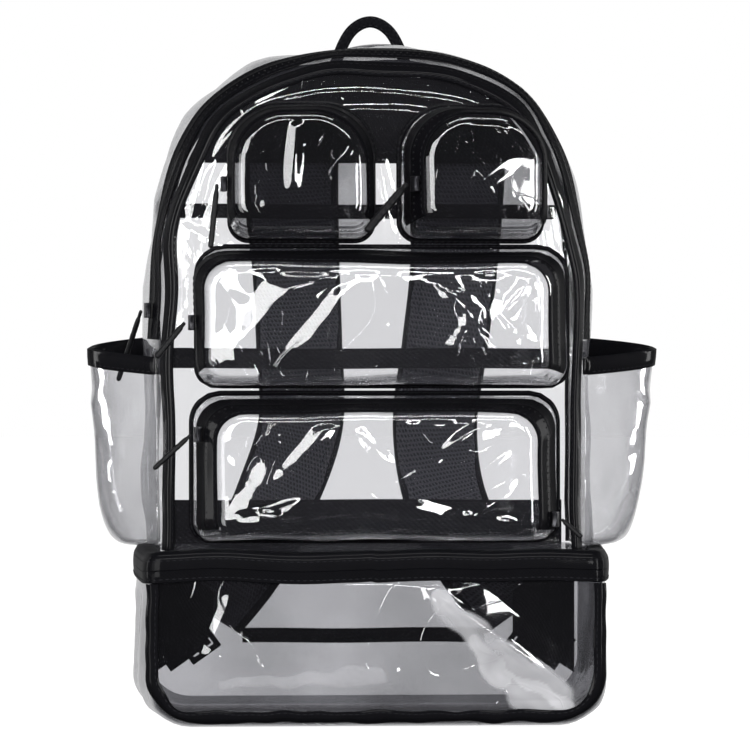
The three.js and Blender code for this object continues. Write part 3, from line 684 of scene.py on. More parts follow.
panelSettings = {
    "columns": 110, "rows": 130, "wave": 0.0008, "ridge": 0.0004, "facet": 0.0009, "plan": (5, 3, 0.06),
    "top": 0.985, "flatHeight": 0.323, "wander": 0.004, "wanderSize": (14, 90),
    "folds": [(0.013, 0.0011, 0.0035), (0.026, 0.0014, 0.0045)],  # inset from the dome's edge, height, width
    "creases": [  # start x and z, end x and z, height, width, here and in the other tables of creases
        (-0.128, 0.326, -0.100, 0.313, 0.0028, 0.008),
        (-0.122, 0.318, -0.124, 0.262, 0.0020, 0.005),
        (0.112, 0.376, 0.123, 0.316, 0.0030, 0.007),
        (0.118, 0.352, 0.128, 0.300, -0.0020, 0.005),
        (-0.110, 0.386, -0.118, 0.340, 0.0024, 0.006),
        (0.004, 0.372, 0.012, 0.326, 0.0016, 0.005),
    ],
}


def domeInset(x, z):  # how far a place on the front panel is inside the dome's edge, 1 below the spring line
    power = body["domePower"]
    rise = clamp((z - body["springZ"]) / (body["frontTop"] - body["springZ"]))
    reach = ((abs(x) / body["frontHalf"]) ** power + rise ** power) ** (1 / power)
    return (1 - reach) * (body["frontTop"] - body["springZ"]) if rise > 0.1 else 1.0


def makeFrontPanel():
    setup = panelSettings
    plan = facetPlan(*setup["plan"])
    acrossSize, foldSize = setup["wanderSize"]

    def place(u, v):
        edge = bodyPoint(v * setup["top"], 0, -body["gap"])
        x = lerp(-1, 1, u) * -edge.x
        flat = Vector((x, frontPanelY(edge.z) - body["cadWall"] / 2, edge.z))
        relief = calmEdges(u, v) * crumple(flat, 2, setup, plan)
        relief += creaseRelief(flat.x, flat.z, setup["creases"]) * ease(hump(u) * 12)
        inset = domeInset(flat.x, flat.z)
        for depth, height, width in setup["folds"]:
            wander = setup["wander"] * wobble(flat.x * acrossSize, depth * foldSize)
            relief += height * max(0.0, 1 - abs(inset - depth - wander) / width)
        flat.y -= relief
        return flat

    piece = bentGrid("front_panel_film", setup["columns"], setup["rows"], place)
    sheet(piece, body["wall"], clearFilm, "front_panel")


backSettings = {"columns": 70, "lowRows": 30, "highRows": 80, "wave": 0.0012, "ridge": 0.0006,
                "outLimit": 0.0001, "flatHeight": 0.442}


def makeBackPanel():
    setup = backSettings
    middleY = body["backY"] + body["gap"] + body["cadWall"] / 2
    rows = [baseRow(i / setup["lowRows"], 0, -body["gap"]) for i in range(setup["lowRows"] + 1)]
    for i in range(setup["highRows"] + 1):
        edge = bodyPoint(panelSettings["top"] * i / setup["highRows"], 1, -body["gap"])
        rows.append((-edge.x, edge.z))

    def place(u, v):
        k = v * (len(rows) - 1)
        i = min(int(k), len(rows) - 2)
        half = lerp(rows[i][0], rows[i + 1][0], k - i)
        z = lerp(rows[i][1], rows[i + 1][1], k - i)
        point = Vector((lerp(-half, half, u), middleY, z))
        relief = min(filmRelief(point, 3, setup["wave"], setup["ridge"]), setup["outLimit"])
        point.y += calmEdges(u, v) * relief
        return point

    piece = bentGrid("back_panel_film", setup["columns"], len(rows) - 1, place)
    sheet(piece, body["wall"], clearFilm, "back_panel")


# bindings folded over the two seams of the main compartment

bindingSettings = {  # push: how far the fold stands off the front and the back seam
    "stations": 190, "side": 0.008, "lap": 0.0028, "thickness": 0.0011, "lift": 0.0011, "stitchIn": 0.004,
    "push": (-0.0015, 0.0019), "pushRun": 0.004, "stitchEnds": (0.01, 1.99),
}


def seamPoint(f, edge, a, b):  # a metres from a seam along the depth, b metres outwards
    share = 1 - a / bodyDepth if edge else a / bodyDepth
    point = bodyPoint(f, clamp(share), b)
    overhang = max(share - 1, 0) if edge else min(share, 0)
    point.y += overhang * bodyDepth
    point.y += bindingSettings["push"][edge] * ease(1 - a / bindingSettings["pushRun"])
    return point


def makeBindings():
    setup = bindingSettings
    lift, lap, side = setup["lift"], setup["lap"], setup["side"]
    above = lift + setup["thickness"] * stitchSize["onTape"]
    section = stripSection([  # towards the gusset and outwards from the seam, round the corner
        (side, lift), (side * 0.5, lift * 1.15), (0.0006, lift), (-lift * 1.2, lift * 0.2),
        (-lift * 1.7, -lift), (-lift * 1.6, -lap * 0.5), (-lift * 1.45, -lap)], setup["thickness"])
    for edge, node in enumerate(("front_binding", "back_binding")):
        def place(along, a, b):
            return seamPoint(2 * along, edge, a, b)

        def onSide(f, out):
            return seamPoint(f, edge, setup["stitchIn"], out)

        def onLap(f, a):
            return seamPoint(f, edge, a, -lap * 0.6)

        piece = loft(node + "_tape", section, setup["stations"], place)
        dress(piece, wovenTape, node)
        rows = [liftedRow(onSide, above, above + 0.001, setup["stitchEnds"]),
                liftedRow(onLap, -lift * 2.1, -lift * 3, setup["stitchEnds"])]
        stitchRow(node + "_stitches", rows, node)


# the long zip over the dome

mainZip = {"from": 0.12, "to": 0.27, "tape": 0.0011, "lift": 0.0013, "stations": 190, "groove": 0.0006,
           "stitchIn": 0.02}
mainZip["start"] = (body["springZ"] - body["floorZ"]) / archRuns[-1]


def zipHalf(width, thickness):  # one tape of a zip, with its corded inner edge
    path = [(0, 0), (width * 0.3, 0), (width * 0.7, 0.0001), (width * 0.93, 0.0003), (width, 0.0005)]
    return stripSection(path, thickness)


def zipTapes(node, setup, depth, sides, wallAt):  # two tapes across a depth, their corded edges together
    width = (setup["to"] - setup["from"]) / 2 * depth - setup["groove"] / 2
    for side, edge, turn in zip(sides, (setup["from"], setup["to"]), (1, -1)):
        def place(along, a, b):
            return wallAt(along, edge + turn * a / depth, setup["lift"] + b)

        piece = loft(f"{node}_tape_{side}", zipHalf(width, setup["tape"]), setup["stations"], place)
        dress(piece, zipCloth, node)


def makeMainZip():
    setup = mainZip
    lift, ends = setup["lift"], (setup["start"], 2 - setup["start"])
    middle = (setup["from"] + setup["to"]) / 2

    def wallAt(along, share, out):
        return bodyPoint(lerp(*ends, along), share, out)

    zipTapes("main_zip", setup, bodyDepth, ("front", "back"), wallAt)

    def row(share, low, high):
        return liftedRow(lambda along, out: wallAt(along, share, out), low, high)

    zipTeeth("main_zip_teeth", row(middle, lift - toothSize["sink"], lift + 0.0024), "main_zip")
    edges = (setup["from"] + setup["stitchIn"], setup["to"] - setup["stitchIn"])
    rows = [row(share, lift + setup["tape"] * stitchSize["onCloth"], lift + 0.003) for share in edges]
    stitchRow("main_zip_stitches", rows, "main_zip")


# rounded boxes: the base compartment and the front pockets

def boxSection(box, share, inset):
    back, front = box["back"], box["front"]
    swell = box["sideBulge"] * hump(share) - inset
    return {
        "half": lerp(back[0], front[0], share) + swell,
        "low": lerp(back[1], front[1], share) + inset + edgeLift(box, share),
        "high": lerp(back[2], front[2], share) - inset,
        "rLow": box["rLow"] - inset,
        "rHigh": box["rHigh"] - inset,
    }


def edgeLift(box, share):  # how far the base's foot curls up at its front and back
    if box is not base:
        return 0.0
    return box["edgeLift"] * clamp(1 - min(share, 1 - share) / box["liftShare"]) ** 2


def boxBackY(box, z):  # the base ends at the flat back, the pockets at the leaning front panel
    if box is base:
        return body["backY"]
    return frontPanelY(z) - body["cadWall"] - body["gap"]


def outlinePoint(size, a, b):  # from a square's edge to a rounded rectangle's, with the outward direction
    half, low, high, rLow, rHigh = (size[key] for key in ("half", "low", "high", "rLow", "rHigh"))
    eighth = math.pi / 4
    if abs(a) >= abs(b):
        first, last = rLow * eighth, rHigh * eighth
        straight = high - rHigh - low - rLow
        run = (b + 1) / 2 * (first + straight + last)
        if run < first:
            turn = -eighth * (1 - run / first)
            x, z = half - rLow + rLow * math.cos(turn), low + rLow + rLow * math.sin(turn)
        elif run <= first + straight:
            turn = 0.0
            x, z = half, low + rLow + run - first
        else:
            turn = (run - first - straight) / rHigh
            x, z = half - rHigh + rHigh * math.cos(turn), high - rHigh + rHigh * math.sin(turn)
        side = math.copysign(1, a)
        return side * x, z, side * math.cos(turn), math.sin(turn)
    radius = rHigh if b > 0 else rLow
    corner, straight = radius * eighth, 2 * (half - radius)
    run = (a + 1) / 2 * (2 * corner + straight)
    if run < corner:
        turn = -eighth * (1 - run / corner)
        x = radius - half + radius * math.sin(turn)
    elif run <= corner + straight:
        turn = 0.0
        x = radius - half + run - corner
    else:
        turn = (run - corner - straight) / radius
        x = half - radius + radius * math.sin(turn)
    up = radius * math.cos(turn)
    z = high - radius + up if b > 0 else low + radius - up
    return x, z, math.sin(turn), math.copysign(math.cos(turn), b)


def squareEdge(t):  # once round the square from the middle of its foot, clockwise seen from the front
    side = (t * 4 + 0.5) % 4
    k = int(side)
    go = lerp(-1, 1, side - k)
    return [(-go, -1), (-1, go), (go, 1), (1, -go)][k]


def boxWall(box, a, b, share, out):  # a point on a box's side walls, and its outward direction
    x, z, nx, nz = outlinePoint(boxSection(box, share, -out), a, b)
    point = Vector((box["x"] + box["shift"] * share + x, boxBackY(box, z) - box["depth"] * share, z))
    return point + sway(point, box["seed"], box["sway"] * ease(share * 2)), Vector((nx, 0, nz))


base = {  # back and front: half width, low and high
    "x": 0.0, "shift": 0.0, "seed": 4, "sway": 0.0, "depth": 0.172, "sideBulge": 0.008,
    "edgeLift": 0.006, "liftShare": 0.1, "rLow": 0.030, "rHigh": 0.005, "zipZ": 0.094,
    "back": (0.150, 0.0, 0.113), "front": (0.147, 0.0, 0.113),
    "wall": 0.001, "around": 200, "along": 40, "wave": 0.0012, "facet": 0.0016, "plan": (8, 4, 0.05),
    "calmLow": 0.004, "calmHigh": 0.093, "calmRun": 0.012, "flatRun": 0.81, "allowance": 0.004,
}
baseFrontY = body["backY"] - base["depth"] - body["gap"]


def baseRow(t, share, out):  # half width and height up a base panel, from its floor edge to the zip band
    size = boxSection(base, share, -out)
    half, low, radius = size["half"], size["low"], size["rLow"]
    reach = radius * math.pi / 2
    straight = base["zipZ"] - low - radius
    run = t * (reach + straight)
    if run < reach:
        turn = run / radius
        return half - radius * (1 - math.sin(turn)), low + radius * (1 - math.cos(turn))
    return half, low + radius + run - reach


def makeBaseGusset():
    plan = facetPlan(*base["plan"])

    def place(u, v):
        flat, outward = boxWall(base, *squareEdge(u), v, -body["cadWall"] / 2)
        onSide = ease((flat.z - base["calmLow"]) / base["calmRun"])
        underBand = ease((base["calmHigh"] - flat.z) / base["calmRun"])
        return flat + outward * crumple(flat, 4, base, plan) * onSide * underBand * ease(hump(v) * 2)

    piece = bentGrid("base_gusset_film", base["around"], base["along"], place)
    weld(piece)
    # the base takes the darker film, which is painted shade
    sheet(piece, base["wall"], shadedBaseFilm, "base_gusset")


baseFront = {
    "columns": 220, "rows": 96, "crown": 0.003, "edgePower": 6, "flatSide": 0.010, "flatFoot": 0.012,
    "wave": 0.0008, "ridge": 0.0005, "noiseSize": 22.0,
    "creases": [
        (0.028, 0.096, 0.135, 0.012, 0.0052, 0.022),
        (0.070, 0.040, 0.128, 0.014, -0.0018, 0.010),
        (0.026, 0.102, 0.035, 0.084, 0.0014, 0.003),
        (0.027, 0.102, 0.048, 0.082, 0.0014, 0.003),
        (0.035, 0.084, 0.064, 0.034, 0.0014, 0.004),
        (0.048, 0.082, 0.112, 0.034, 0.0016, 0.004),
        (-0.128, 0.074, -0.106, 0.050, -0.0012, 0.007),
        (-0.092, 0.092, -0.108, 0.050, 0.0012, 0.006),
        (-0.108, 0.048, -0.056, 0.036, 0.0012, 0.006),
        (-0.104, 0.028, 0.010, 0.031, 0.0022, 0.010),
        (-0.030, 0.044, 0.050, 0.026, 0.0014, 0.010),
    ],
    "stressAndHighlight": [  # start x and z, end x and z, width at the start and at the end, amount of white: painted highlight and reflection on the fold, with stress whitening
        (0.040, 0.084, 0.110, 0.017, 0.006, 0.019, 0.62),
        (0.061, 0.058, 0.079, 0.034, 0.005, 0.009, 0.82),
        (0.086, 0.036, 0.126, 0.014, 0.002, 0.005, 0.9),
        (-0.100, 0.030, 0.000, 0.034, 0.003, 0.006, 0.35),
    ],
}


def makeBaseFront():
    setup = baseFront
    flatZ = boxSection(base, 1, body["gap"])["low"] + setup["flatFoot"]
    flatShare = 1 - setup["flatSide"] / base["front"][0]
    topZ, zipZ = base["front"][2] - base["rHigh"], base["zipZ"]

    def place(u, v):
        t = v * topZ / zipZ
        half, z = baseRow(min(t, 1), 1, -body["gap"])
        if t > 1:
            z = lerp(zipZ, topZ, (t - 1) / (topZ / zipZ - 1))
        across = lerp(-1, 1, u)
        x = across * half
        rise = clamp((z - flatZ) / (zipZ - flatZ))
        share = clamp(across / flatShare, -1, 1)
        calm = math.sqrt(hump(rise) * max(1 - share ** setup["edgePower"], 0))
        point = Vector((x, baseFrontY - body["cadWall"] / 2, z))
        swell = setup["crown"] * (1 - share ** 2) + creaseRelief(x, z, setup["creases"])
        swell += filmRelief(point, 5, setup["wave"], setup["ridge"], setup["noiseSize"])
        point.y -= calm * swell
        return point

    piece = bentGrid("base_front_film", setup["columns"], setup["rows"], place)
    # painted highlights and reflections along the folds, with stress whitening
    paintHighlightAndWhite(piece, setup["stressAndHighlight"])
    # the darker film here is painted shade inside the base
    sheet(piece, base["wall"], shadedBaseFilm, "base_front")


baseZip = {
    "sideStart": 0.12, "corner": 0.006, "stations": 170, "thickness": 0.0012, "lift": 0.0014,
    "lowZ": 0.0955, "seamZ": 0.103, "topZ": 0.1135, "over": 0.011, "groove": 0.0003,
    "wander": 0.0028, "wanderSize": 18, "bulge": 0.0008, "bulgeSize": 24,
}


def baseBandPoint(t, out, z):  # once along the left side, round the front and back along the right side
    setup = baseZip
    size = boxSection(base, 1, 0)
    corner = setup["corner"]
    sideRun = base["depth"] * (1 - setup["sideStart"]) - corner
    frontHalf = size["half"] - corner
    bend = corner * math.pi / 2
    total = 2 * (sideRun + bend + frontHalf)
    run = t * total
    side = -1 if run < total / 2 else 1
    run = min(run, total - run)
    z += setup["wander"] * wobble(side * run * setup["wanderSize"], 3.3)
    out += setup["bulge"] * wobble(side * run * setup["bulgeSize"], 7.1)
    if run < sideRun:
        share = setup["sideStart"] + run / base["depth"]
        half = boxSection(base, share, -out)["half"]
        return Vector((side * half, body["backY"] - base["depth"] * share, z))
    frontY = baseFrontY - body["cadWall"]
    if run < sideRun + bend:
        turn, radius = (run - sideRun) / corner, corner + out
        x, y = frontHalf + radius * math.cos(turn), frontY + corner - radius * math.sin(turn)
        return Vector((side * x, y, z))
    return Vector((side * (frontHalf - (run - sideRun - bend)), frontY - out, z))


def makeBaseZip():
    setup = baseZip
    lift, low, seam, top = (setup[key] for key in ("lift", "lowZ", "seamZ", "topZ"))
    sections = {
        "low": [(lift, low), (lift, low + 0.003), (lift * 1.2, seam - setup["groove"])],
        "high": [(lift * 1.2, seam + setup["groove"]), (lift * 1.1, seam + 0.004), (lift * 0.6, top - 0.003),
                 (-0.0012, top + 0.0006), (-0.004, top + 0.0012), (-setup["over"], top + 0.0012)],
    }
    for name, path in sections.items():
        section = stripSection(path, setup["thickness"])
        piece = loft("base_zip_tape_" + name, section, setup["stations"], baseBandPoint)
        dress(piece, zipCloth, "base_zip")

    def row(z, out):
        return liftedRow(lambda t, far: baseBandPoint(t, far, z), out, out + 0.002)

    zipTeeth("base_zip_teeth", row(seam, lift - toothSize["sink"]), "base_zip")
    above = lift + setup["thickness"] * stitchSize["onCloth"]
    stitchRow("base_zip_stitches", [row(low + 0.0018, above), row(top - 0.0042, above * 0.8)], "base_zip")


baseBinding = {"lap": 0.005, "thickness": 0.0013, "lift": 0.0011, "fold": 0.003, "stations": 150,
               "wander": 0.0012, "wanderSize": 26, "uneven": 0.35, "unevenSize": 17}


def baseEdge(t):  # down the base front's left side, along its foot and up its right side, with the way out
    size = boxSection(base, 1, body["gap"])
    radius, bend = size["rLow"], size["rLow"] * math.pi / 2
    straight = base["zipZ"] - size["low"] - radius
    flat = size["half"] - radius
    total = straight + bend + flat
    side = -1 if t < 0.5 else 1
    run = min(t, 1 - t) * 2 * total
    if run < straight:
        return side * size["half"], base["zipZ"] - run, side, 0.0
    if run < straight + bend:
        turn = (run - straight) / radius
        x, z = flat + radius * math.cos(turn), size["low"] + radius * (1 - math.sin(turn))
        return side * x, z, side * math.cos(turn), -math.sin(turn)
    return side * (total - run), size["low"], 0.0, -1.0


def makeBaseBinding():
    setup = baseBinding
    lap, lift, fold = setup["lap"], setup["lift"], setup["fold"]
    frontY = baseFrontY - body["cadWall"]

    def place(along, a, b):  # a metres in from the edge, b metres in front of the panel
        x, z, nx, nz = baseEdge(along)
        drift = setup["wander"] * wobble(along * setup["wanderSize"], 5)
        a *= 1 + setup["uneven"] * wobble(along * setup["unevenSize"], 8)
        return Vector((x - nx * (a + drift), frontY - b, z - nz * (a + drift)))

    section = stripSection([
        (lap, lift), (lap * 0.6, lift * 1.15), (lap * 0.25, lift * 1.1), (0.0004, lift * 0.9),
        (-0.0012, -0.0006), (-0.0017, -fold * 0.6), (-0.0021, -fold)], setup["thickness"])
    piece = loft("base_binding_tape", section, setup["stations"], place)
    dress(piece, wovenTape, "base_binding")
    above = lift * 1.1 + setup["thickness"] * stitchSize["onTape"]
    row = facingRow(lambda along: place(along, lap * 0.7, above), -1, (0.006, 0.994))
    stitchRow("base_binding_stitches", [row], "base_binding")


# the four front pockets

# the small pockets take the darker film, which is painted shade
smallPocket = {"depth": 0.036, "crown": 0.0012, "sideBulge": 0.0025, "rLow": 0.012, "rHigh": 0.032,
               "pulls": 0, "soft": 0.2, "sway": 0.0016, "grid": 76, "film": shadedUpperFilm}
bigPocket = {"depth": 0.043, "crown": 0.004, "sideBulge": 0.0025, "rLow": 0.012, "rHigh": 0.018,
             "pulls": 2, "soft": 1.0, "sway": 0.0022, "grid": 104, "film": clearFilm}
pockets = {
    "upper_left": {
        **smallPocket, "x": -0.047, "shift": -0.002, "seed": 11,
        "back": (0.0465, 0.318, 0.408), "front": (0.0405, 0.329, 0.400),
        "creases": [
            (-0.050, 0.392, -0.054, 0.352, 0.0016, 0.006),
            (-0.070, 0.340, -0.040, 0.336, 0.0014, 0.006),
        ],
    },
    "upper_right": {
        **smallPocket, "x": 0.0645, "shift": 0.006, "seed": 12,
        "back": (0.0465, 0.318, 0.407), "front": (0.037, 0.329, 0.399),
        "creases": [
            (0.048, 0.398, 0.092, 0.392, 0.0014, 0.006),
            (0.060, 0.350, 0.086, 0.370, 0.0012, 0.008),
        ],
    },
    "middle": {
        **bigPocket, "x": 0.006, "shift": -0.006, "seed": 13,
        "back": (0.1215, 0.2225, 0.313), "front": (0.110, 0.229, 0.301),
        "creases": [
            (-0.100, 0.236, -0.044, 0.300, 0.0036, 0.015),
            (-0.076, 0.232, -0.022, 0.296, -0.0020, 0.010),
            (-0.058, 0.284, -0.020, 0.296, 0.0018, 0.006),
            (0.040, 0.290, 0.062, 0.266, 0.0024, 0.008),
            (0.062, 0.266, 0.048, 0.240, 0.0024, 0.009),
            (0.072, 0.296, 0.096, 0.240, 0.0020, 0.008),
        ],
    },
    "lower": {
        **bigPocket, "x": 0.001, "shift": 0.0, "seed": 14,
        "back": (0.120, 0.121, 0.2165), "front": (0.102, 0.124, 0.203),
        "creases": [
            (-0.096, 0.128, -0.020, 0.150, 0.0028, 0.009),
            (-0.060, 0.128, 0.010, 0.140, -0.0020, 0.007),
            (0.000, 0.148, 0.070, 0.130, 0.0026, 0.008),
            (0.040, 0.128, 0.098, 0.156, 0.0024, 0.009),
            (-0.066, 0.156, -0.030, 0.198, 0.0020, 0.008),
            (0.014, 0.158, 0.040, 0.172, 0.0016, 0.005),
            (-0.084, 0.142, -0.050, 0.134, 0.0018, 0.004),
            (-0.040, 0.132, -0.004, 0.138, 0.0018, 0.004),
            (0.060, 0.138, 0.090, 0.132, 0.0020, 0.004),
            (-0.010, 0.190, 0.006, 0.172, 0.0016, 0.005),
            (0.046, 0.180, 0.066, 0.194, 0.0018, 0.006),
        ],
    },
}
pocketFilm = {
    "wall": 0.0009, "fillet": 0.0045, "frontEnd": 0.64, "filletEnd": 0.72, "allowance": 0.012,
    "wave": 0.0009, "ridge": 0.0005, "facet": 0.0008, "facets": (3, 0.06),
    "pucker": 0.0014, "puckerRun": 0.016, "puckerFade": 9, "rib": 0.0011, "ribRun": 0.0062,
}
cornerPull = {"inset": 0.010, "angle": (20, 70), "reach": (0.3, 0.6), "span": 0.08,
              "height": (0.0009, 0.002), "width": (0.005, 0.009)}


def cornerPulls(box):  # creases that run in from the corners of a pocket's front
    setup = cornerPull
    chance = random.Random(box["seed"])
    half, low, high = box["front"]
    rows = []
    for side in (-1, 1):
        for z, up in ((low, 1), (high, -1)):
            for k in range(box["pulls"]):
                angle = math.radians(chance.uniform(*setup["angle"]))
                reach = chance.uniform(*setup["reach"]) * min(half, setup["span"])
                startX = box["x"] + box["shift"] + side * (half - setup["inset"])
                startZ = z + up * setup["inset"]
                endX = startX - side * reach * math.cos(angle)
                endZ = startZ + up * reach * math.sin(angle)
                height = chance.choice((-1, 1)) * chance.uniform(*setup["height"])
                rows.append((startX, startZ, endX, endZ, height, chance.uniform(*setup["width"])))
    return rows


def makePocketShell(name, box):
    setup = pocketFilm
    fillet, frontEnd, filletEnd = setup["fillet"], setup["frontEnd"], setup["filletEnd"]
    creases = box["creases"] + cornerPulls(box)
    plan = facetPlan(box["seed"], *setup["facets"])

    def place(u, v):
        a, b = lerp(-1, 1, u), lerp(-1, 1, v)
        ring = max(abs(a), abs(b))
        edge = (a / ring, b / ring) if ring > 1e-6 else (1.0, 0.0)
        inset, share, scale, tip = 0.0, 1.0, 1.0, 0.0
        if ring < frontEnd:
            inset, scale = fillet, ring / frontEnd
        elif ring < filletEnd:
            tip = math.pi / 2 * (ring - frontEnd) / (filletEnd - frontEnd)
            inset = fillet * (1 - math.sin(tip))
            share = 1 - fillet / box["depth"] * (1 - math.cos(tip))
        else:
            tip = math.pi / 2
            share = (1 - fillet / box["depth"]) * (1 - ring) / (1 - filletEnd)
        size = boxSection(box, share, inset)
        x, z, nx, nz = outlinePoint(size, *edge)
        z = lerp((size["low"] + size["high"]) / 2, z, scale)
        y = boxBackY(box, z) - box["depth"] * share - box["crown"] * (1 - scale ** 2) * (1 if tip == 0 else 0)
        point = Vector((box["x"] + box["shift"] * share + x * scale, y, z))
        outward = Vector((nx * math.sin(tip), -math.cos(tip), nz * math.sin(tip)))
        calm = ease((1 - ring) * 12)
        relief = crumple(point, box["seed"], setup, plan) * box["soft"]
        if ring < frontEnd:
            relief += creaseRelief(point.x, point.z, creases) * ease((1 - scale) * 8)
            along = point.z if abs(a) >= abs(b) else point.x
            pucker = wobble(along / setup["puckerRun"], box["seed"])
            fade = math.exp((scale - 1) * setup["puckerFade"])
            relief += setup["pucker"] * box["soft"] * pucker * fade * ease((1 - scale) * 30)
        elif tip == math.pi / 2 and b < -abs(a):
            relief += setup["rib"] * math.sin(2 * math.pi * share * box["depth"] / setup["ribRun"])
        return point + outward * calm * relief + sway(point, box["seed"], box["sway"] * ease(share * 2))

    piece = bentGrid(name + "_film", box["grid"], box["grid"], place)
    half, low, high = box["back"]
    sheet(piece, setup["wall"], box["film"], name + "_shell")


pocketZip = {"from": 0.34, "to": 0.94, "foot": -0.9, "lift": 0.0012, "tape": 0.0011, "stations": 90,
             "groove": 0.0006, "stitchIn": 0.0016, "ends": (0.005, 0.995)}


def archEdge(t, foot):  # up the left wall from foot, over the top and down the right wall of a pocket
    reach = 1 - foot
    run = t * (2 * reach + 2)
    if run < reach:
        return -1, foot + run
    if run < reach + 2:
        return run - reach - 1, 1
    return 1, 1 - (run - reach - 2)


def makePocketZip(name, box):
    setup = pocketZip
    node = name + "_zip"
    lift, foot = setup["lift"], setup["foot"]
    middle = (setup["from"] + setup["to"]) / 2

    def wallAt(along, share, out):
        return boxWall(box, *archEdge(along, foot), share, out)[0]

    zipTapes(node, setup, box["depth"], ("back", "front"), wallAt)

    def row(share, out):
        return lambda t: boxWall(box, *archEdge(lerp(*setup["ends"], t), foot), share, out)

    zipTeeth(name + "_zip_teeth", row(middle, lift - toothSize["sink"]), node)
    inset = setup["stitchIn"] / box["depth"]
    above = lift + setup["tape"] * stitchSize["onCloth"]
    edges = (setup["from"] + inset, setup["to"] - inset)
    stitchRow(name + "_zip_stitches", [row(share, above) for share in edges], node)


pocketSeam = {"side": 0.005, "lap": 0.0012, "lapOff": 0.0009, "lift": 0.0009, "thickness": 0.001,
              "stations": 120}


def makePocketSeam(name, box):
    setup = pocketSeam
    node = name + "_seam"
    lift, side, lap, lapOff = (setup[key] for key in ("lift", "side", "lap", "lapOff"))

    def place(along, a, b):  # a metres off the front panel, b metres outwards
        return boxWall(box, *squareEdge(along % 1), a / box["depth"], b)[0]

    path = [(side, lift), (side * 0.5, lift * 1.2), (0.0016, lift * 1.2), (lapOff, lift + lap * 0.5),
            (0.0008, lift + lap)]
    piece = loft(name + "_seam_tape", stripSection(path, setup["thickness"]), setup["stations"], place)
    dress(piece, wovenTape, node)
    rise = setup["thickness"] * stitchSize["onTape"]
    above, off = lift * 1.2 + rise, lapOff + rise
    rows = [liftedRow(lambda t, b: place(t, side * 0.6, b), above, above + 0.001),
            liftedRow(lambda t, a: place(t, a, lift + lap * 0.6), off, off + 0.001)]
    stitchRow(name + "_seam_stitches", rows, node)


# open pockets on the two sides

sidePocket = {
    "frontShare": 0.13, "backShare": 0.88, "lowZ": 0.115, "rimFrontZ": 0.240, "rimBackZ": 0.254,
    "reach": {-1: 0.037, 1: 0.0435}, "edgeReach": 0.0022, "reachPower": 0.9, "pointed": 0.3,
    "profilePower": 6.0, "footRows": 2.5, "taper": {-1: 0.81, 1: 0.7}, "wall": 0.0009, "flat": (0.15, 0.2),
    "columns": 90, "rows": 90, "wave": 0.0007, "facet": 0.0009, "facets": (4, 0.042),
    "rimHeight": 0.0105, "rimThickness": 0.0011, "rimInside": -0.0022, "rimOutside": 0.0008,
    "rimStations": 70,
    "creases": [  # these run along y and z
        (-0.024, 0.230, 0.004, 0.165, 0.0015, 0.012),
        (-0.020, 0.146, 0.022, 0.190, -0.0013, 0.014),
        (0.034, 0.222, 0.018, 0.136, 0.0014, 0.013),
        (0.004, 0.165, -0.014, 0.132, 0.0013, 0.009),
        (-0.006, 0.232, 0.030, 0.205, 0.0012, 0.008),
    ],
}


def sidePocketPoint(side, along, up, out):
    setup = sidePocket
    share = lerp(setup["frontShare"], setup["backShare"], along)
    rimZ = lerp(setup["rimFrontZ"], setup["rimBackZ"], along)
    swing = math.sin(math.pi * clamp(along)) ** setup["reachPower"]
    swing = lerp(swing, 1 - abs(2 * clamp(along) - 1), setup["pointed"])
    reach = lerp(setup["edgeReach"], setup["reach"][side], swing) + out
    profile = max(1 - max(1 - up, 0) ** setup["profilePower"], 0) ** (1 / setup["profilePower"])
    profile *= lerp(setup["taper"][side], 1, up)
    z = rimZ - (rimZ - setup["lowZ"] + out) * (1 - up)
    x = archSize(share, 0)[0] + body["gap"] + reach * profile
    return Vector((side * x, lerp(frontPanelY(z), body["backY"], share), z))


def makeSidePocket(name, side):
    setup = sidePocket
    plan = facetPlan(33 + side, *setup["facets"])

    def place(u, v):
        up = v ** setup["footRows"]  # closer rows towards the round foot
        flat = sidePocketPoint(side, u, up, -body["cadWall"] / 2)
        calm = ease(hump(u) * 2) * ease(v * 5) * ease((1 - v) * 8)
        relief = crumple(flat, 6 + side, setup, plan) + creaseRelief(flat.y, flat.z, setup["creases"])
        return sidePocketPoint(side, u, up, -body["cadWall"] / 2 + calm * relief)

    piece = bentGrid("side_pocket_film_" + name, setup["columns"], setup["rows"], place)
    sheet(piece, setup["wall"], sideFilm, "side_pocket_" + name)

    height = setup["rimFrontZ"] - setup["lowZ"]
    rim, thick = setup["rimHeight"], setup["rimThickness"]
    inside, outside = setup["rimInside"], setup["rimOutside"]

    def rimPlace(along, a, b):
        point = sidePocketPoint(side, along, min(a, 1.0), b)
        point.z += max(a - 1, 0) * height
        return point

    fold = stripSection([
        (-rim, outside), (-rim * 0.5, outside * 1.2), (-0.0004, outside), (0.0004, -0.0007),
        (-0.0004, inside), (-rim * 0.5, inside), (-rim, inside)], thick)
    section = [(1 + a / height, b) for a, b in fold]  # from metres to shares of the height
    piece = loft("side_pocket_binding_" + name, section, setup["rimStations"], rimPlace)
    dress(piece, wovenTape, "side_pocket_rim_" + name)
    stitchUp = 1 - rim / height * 0.85
    row = liftedRow(lambda along, out: rimPlace(along, stitchUp, out),
                    outside + thick * stitchSize["onCloth"], outside + thick * 1.6, (0.01, 0.99))
    stitchRow("side_pocket_stitches_" + name, [row], "side_pocket_rim_" + name)


# black cloth on the back: yoke, cross tapes, handle

backFaceY = body["backY"] + body["gap"] + body["cadWall"]
yoke = {"low": 0.376, "high": 0.438, "edge": 0.005, "thickness": 0.0016, "columns": 90, "rows": 30,
        "crown": 0.0006, "standOff": 0.0009, "soft": 0.0003, "softSize": 40, "stitchUp": (0.05, 0.12),
        "allowance": 0.001}


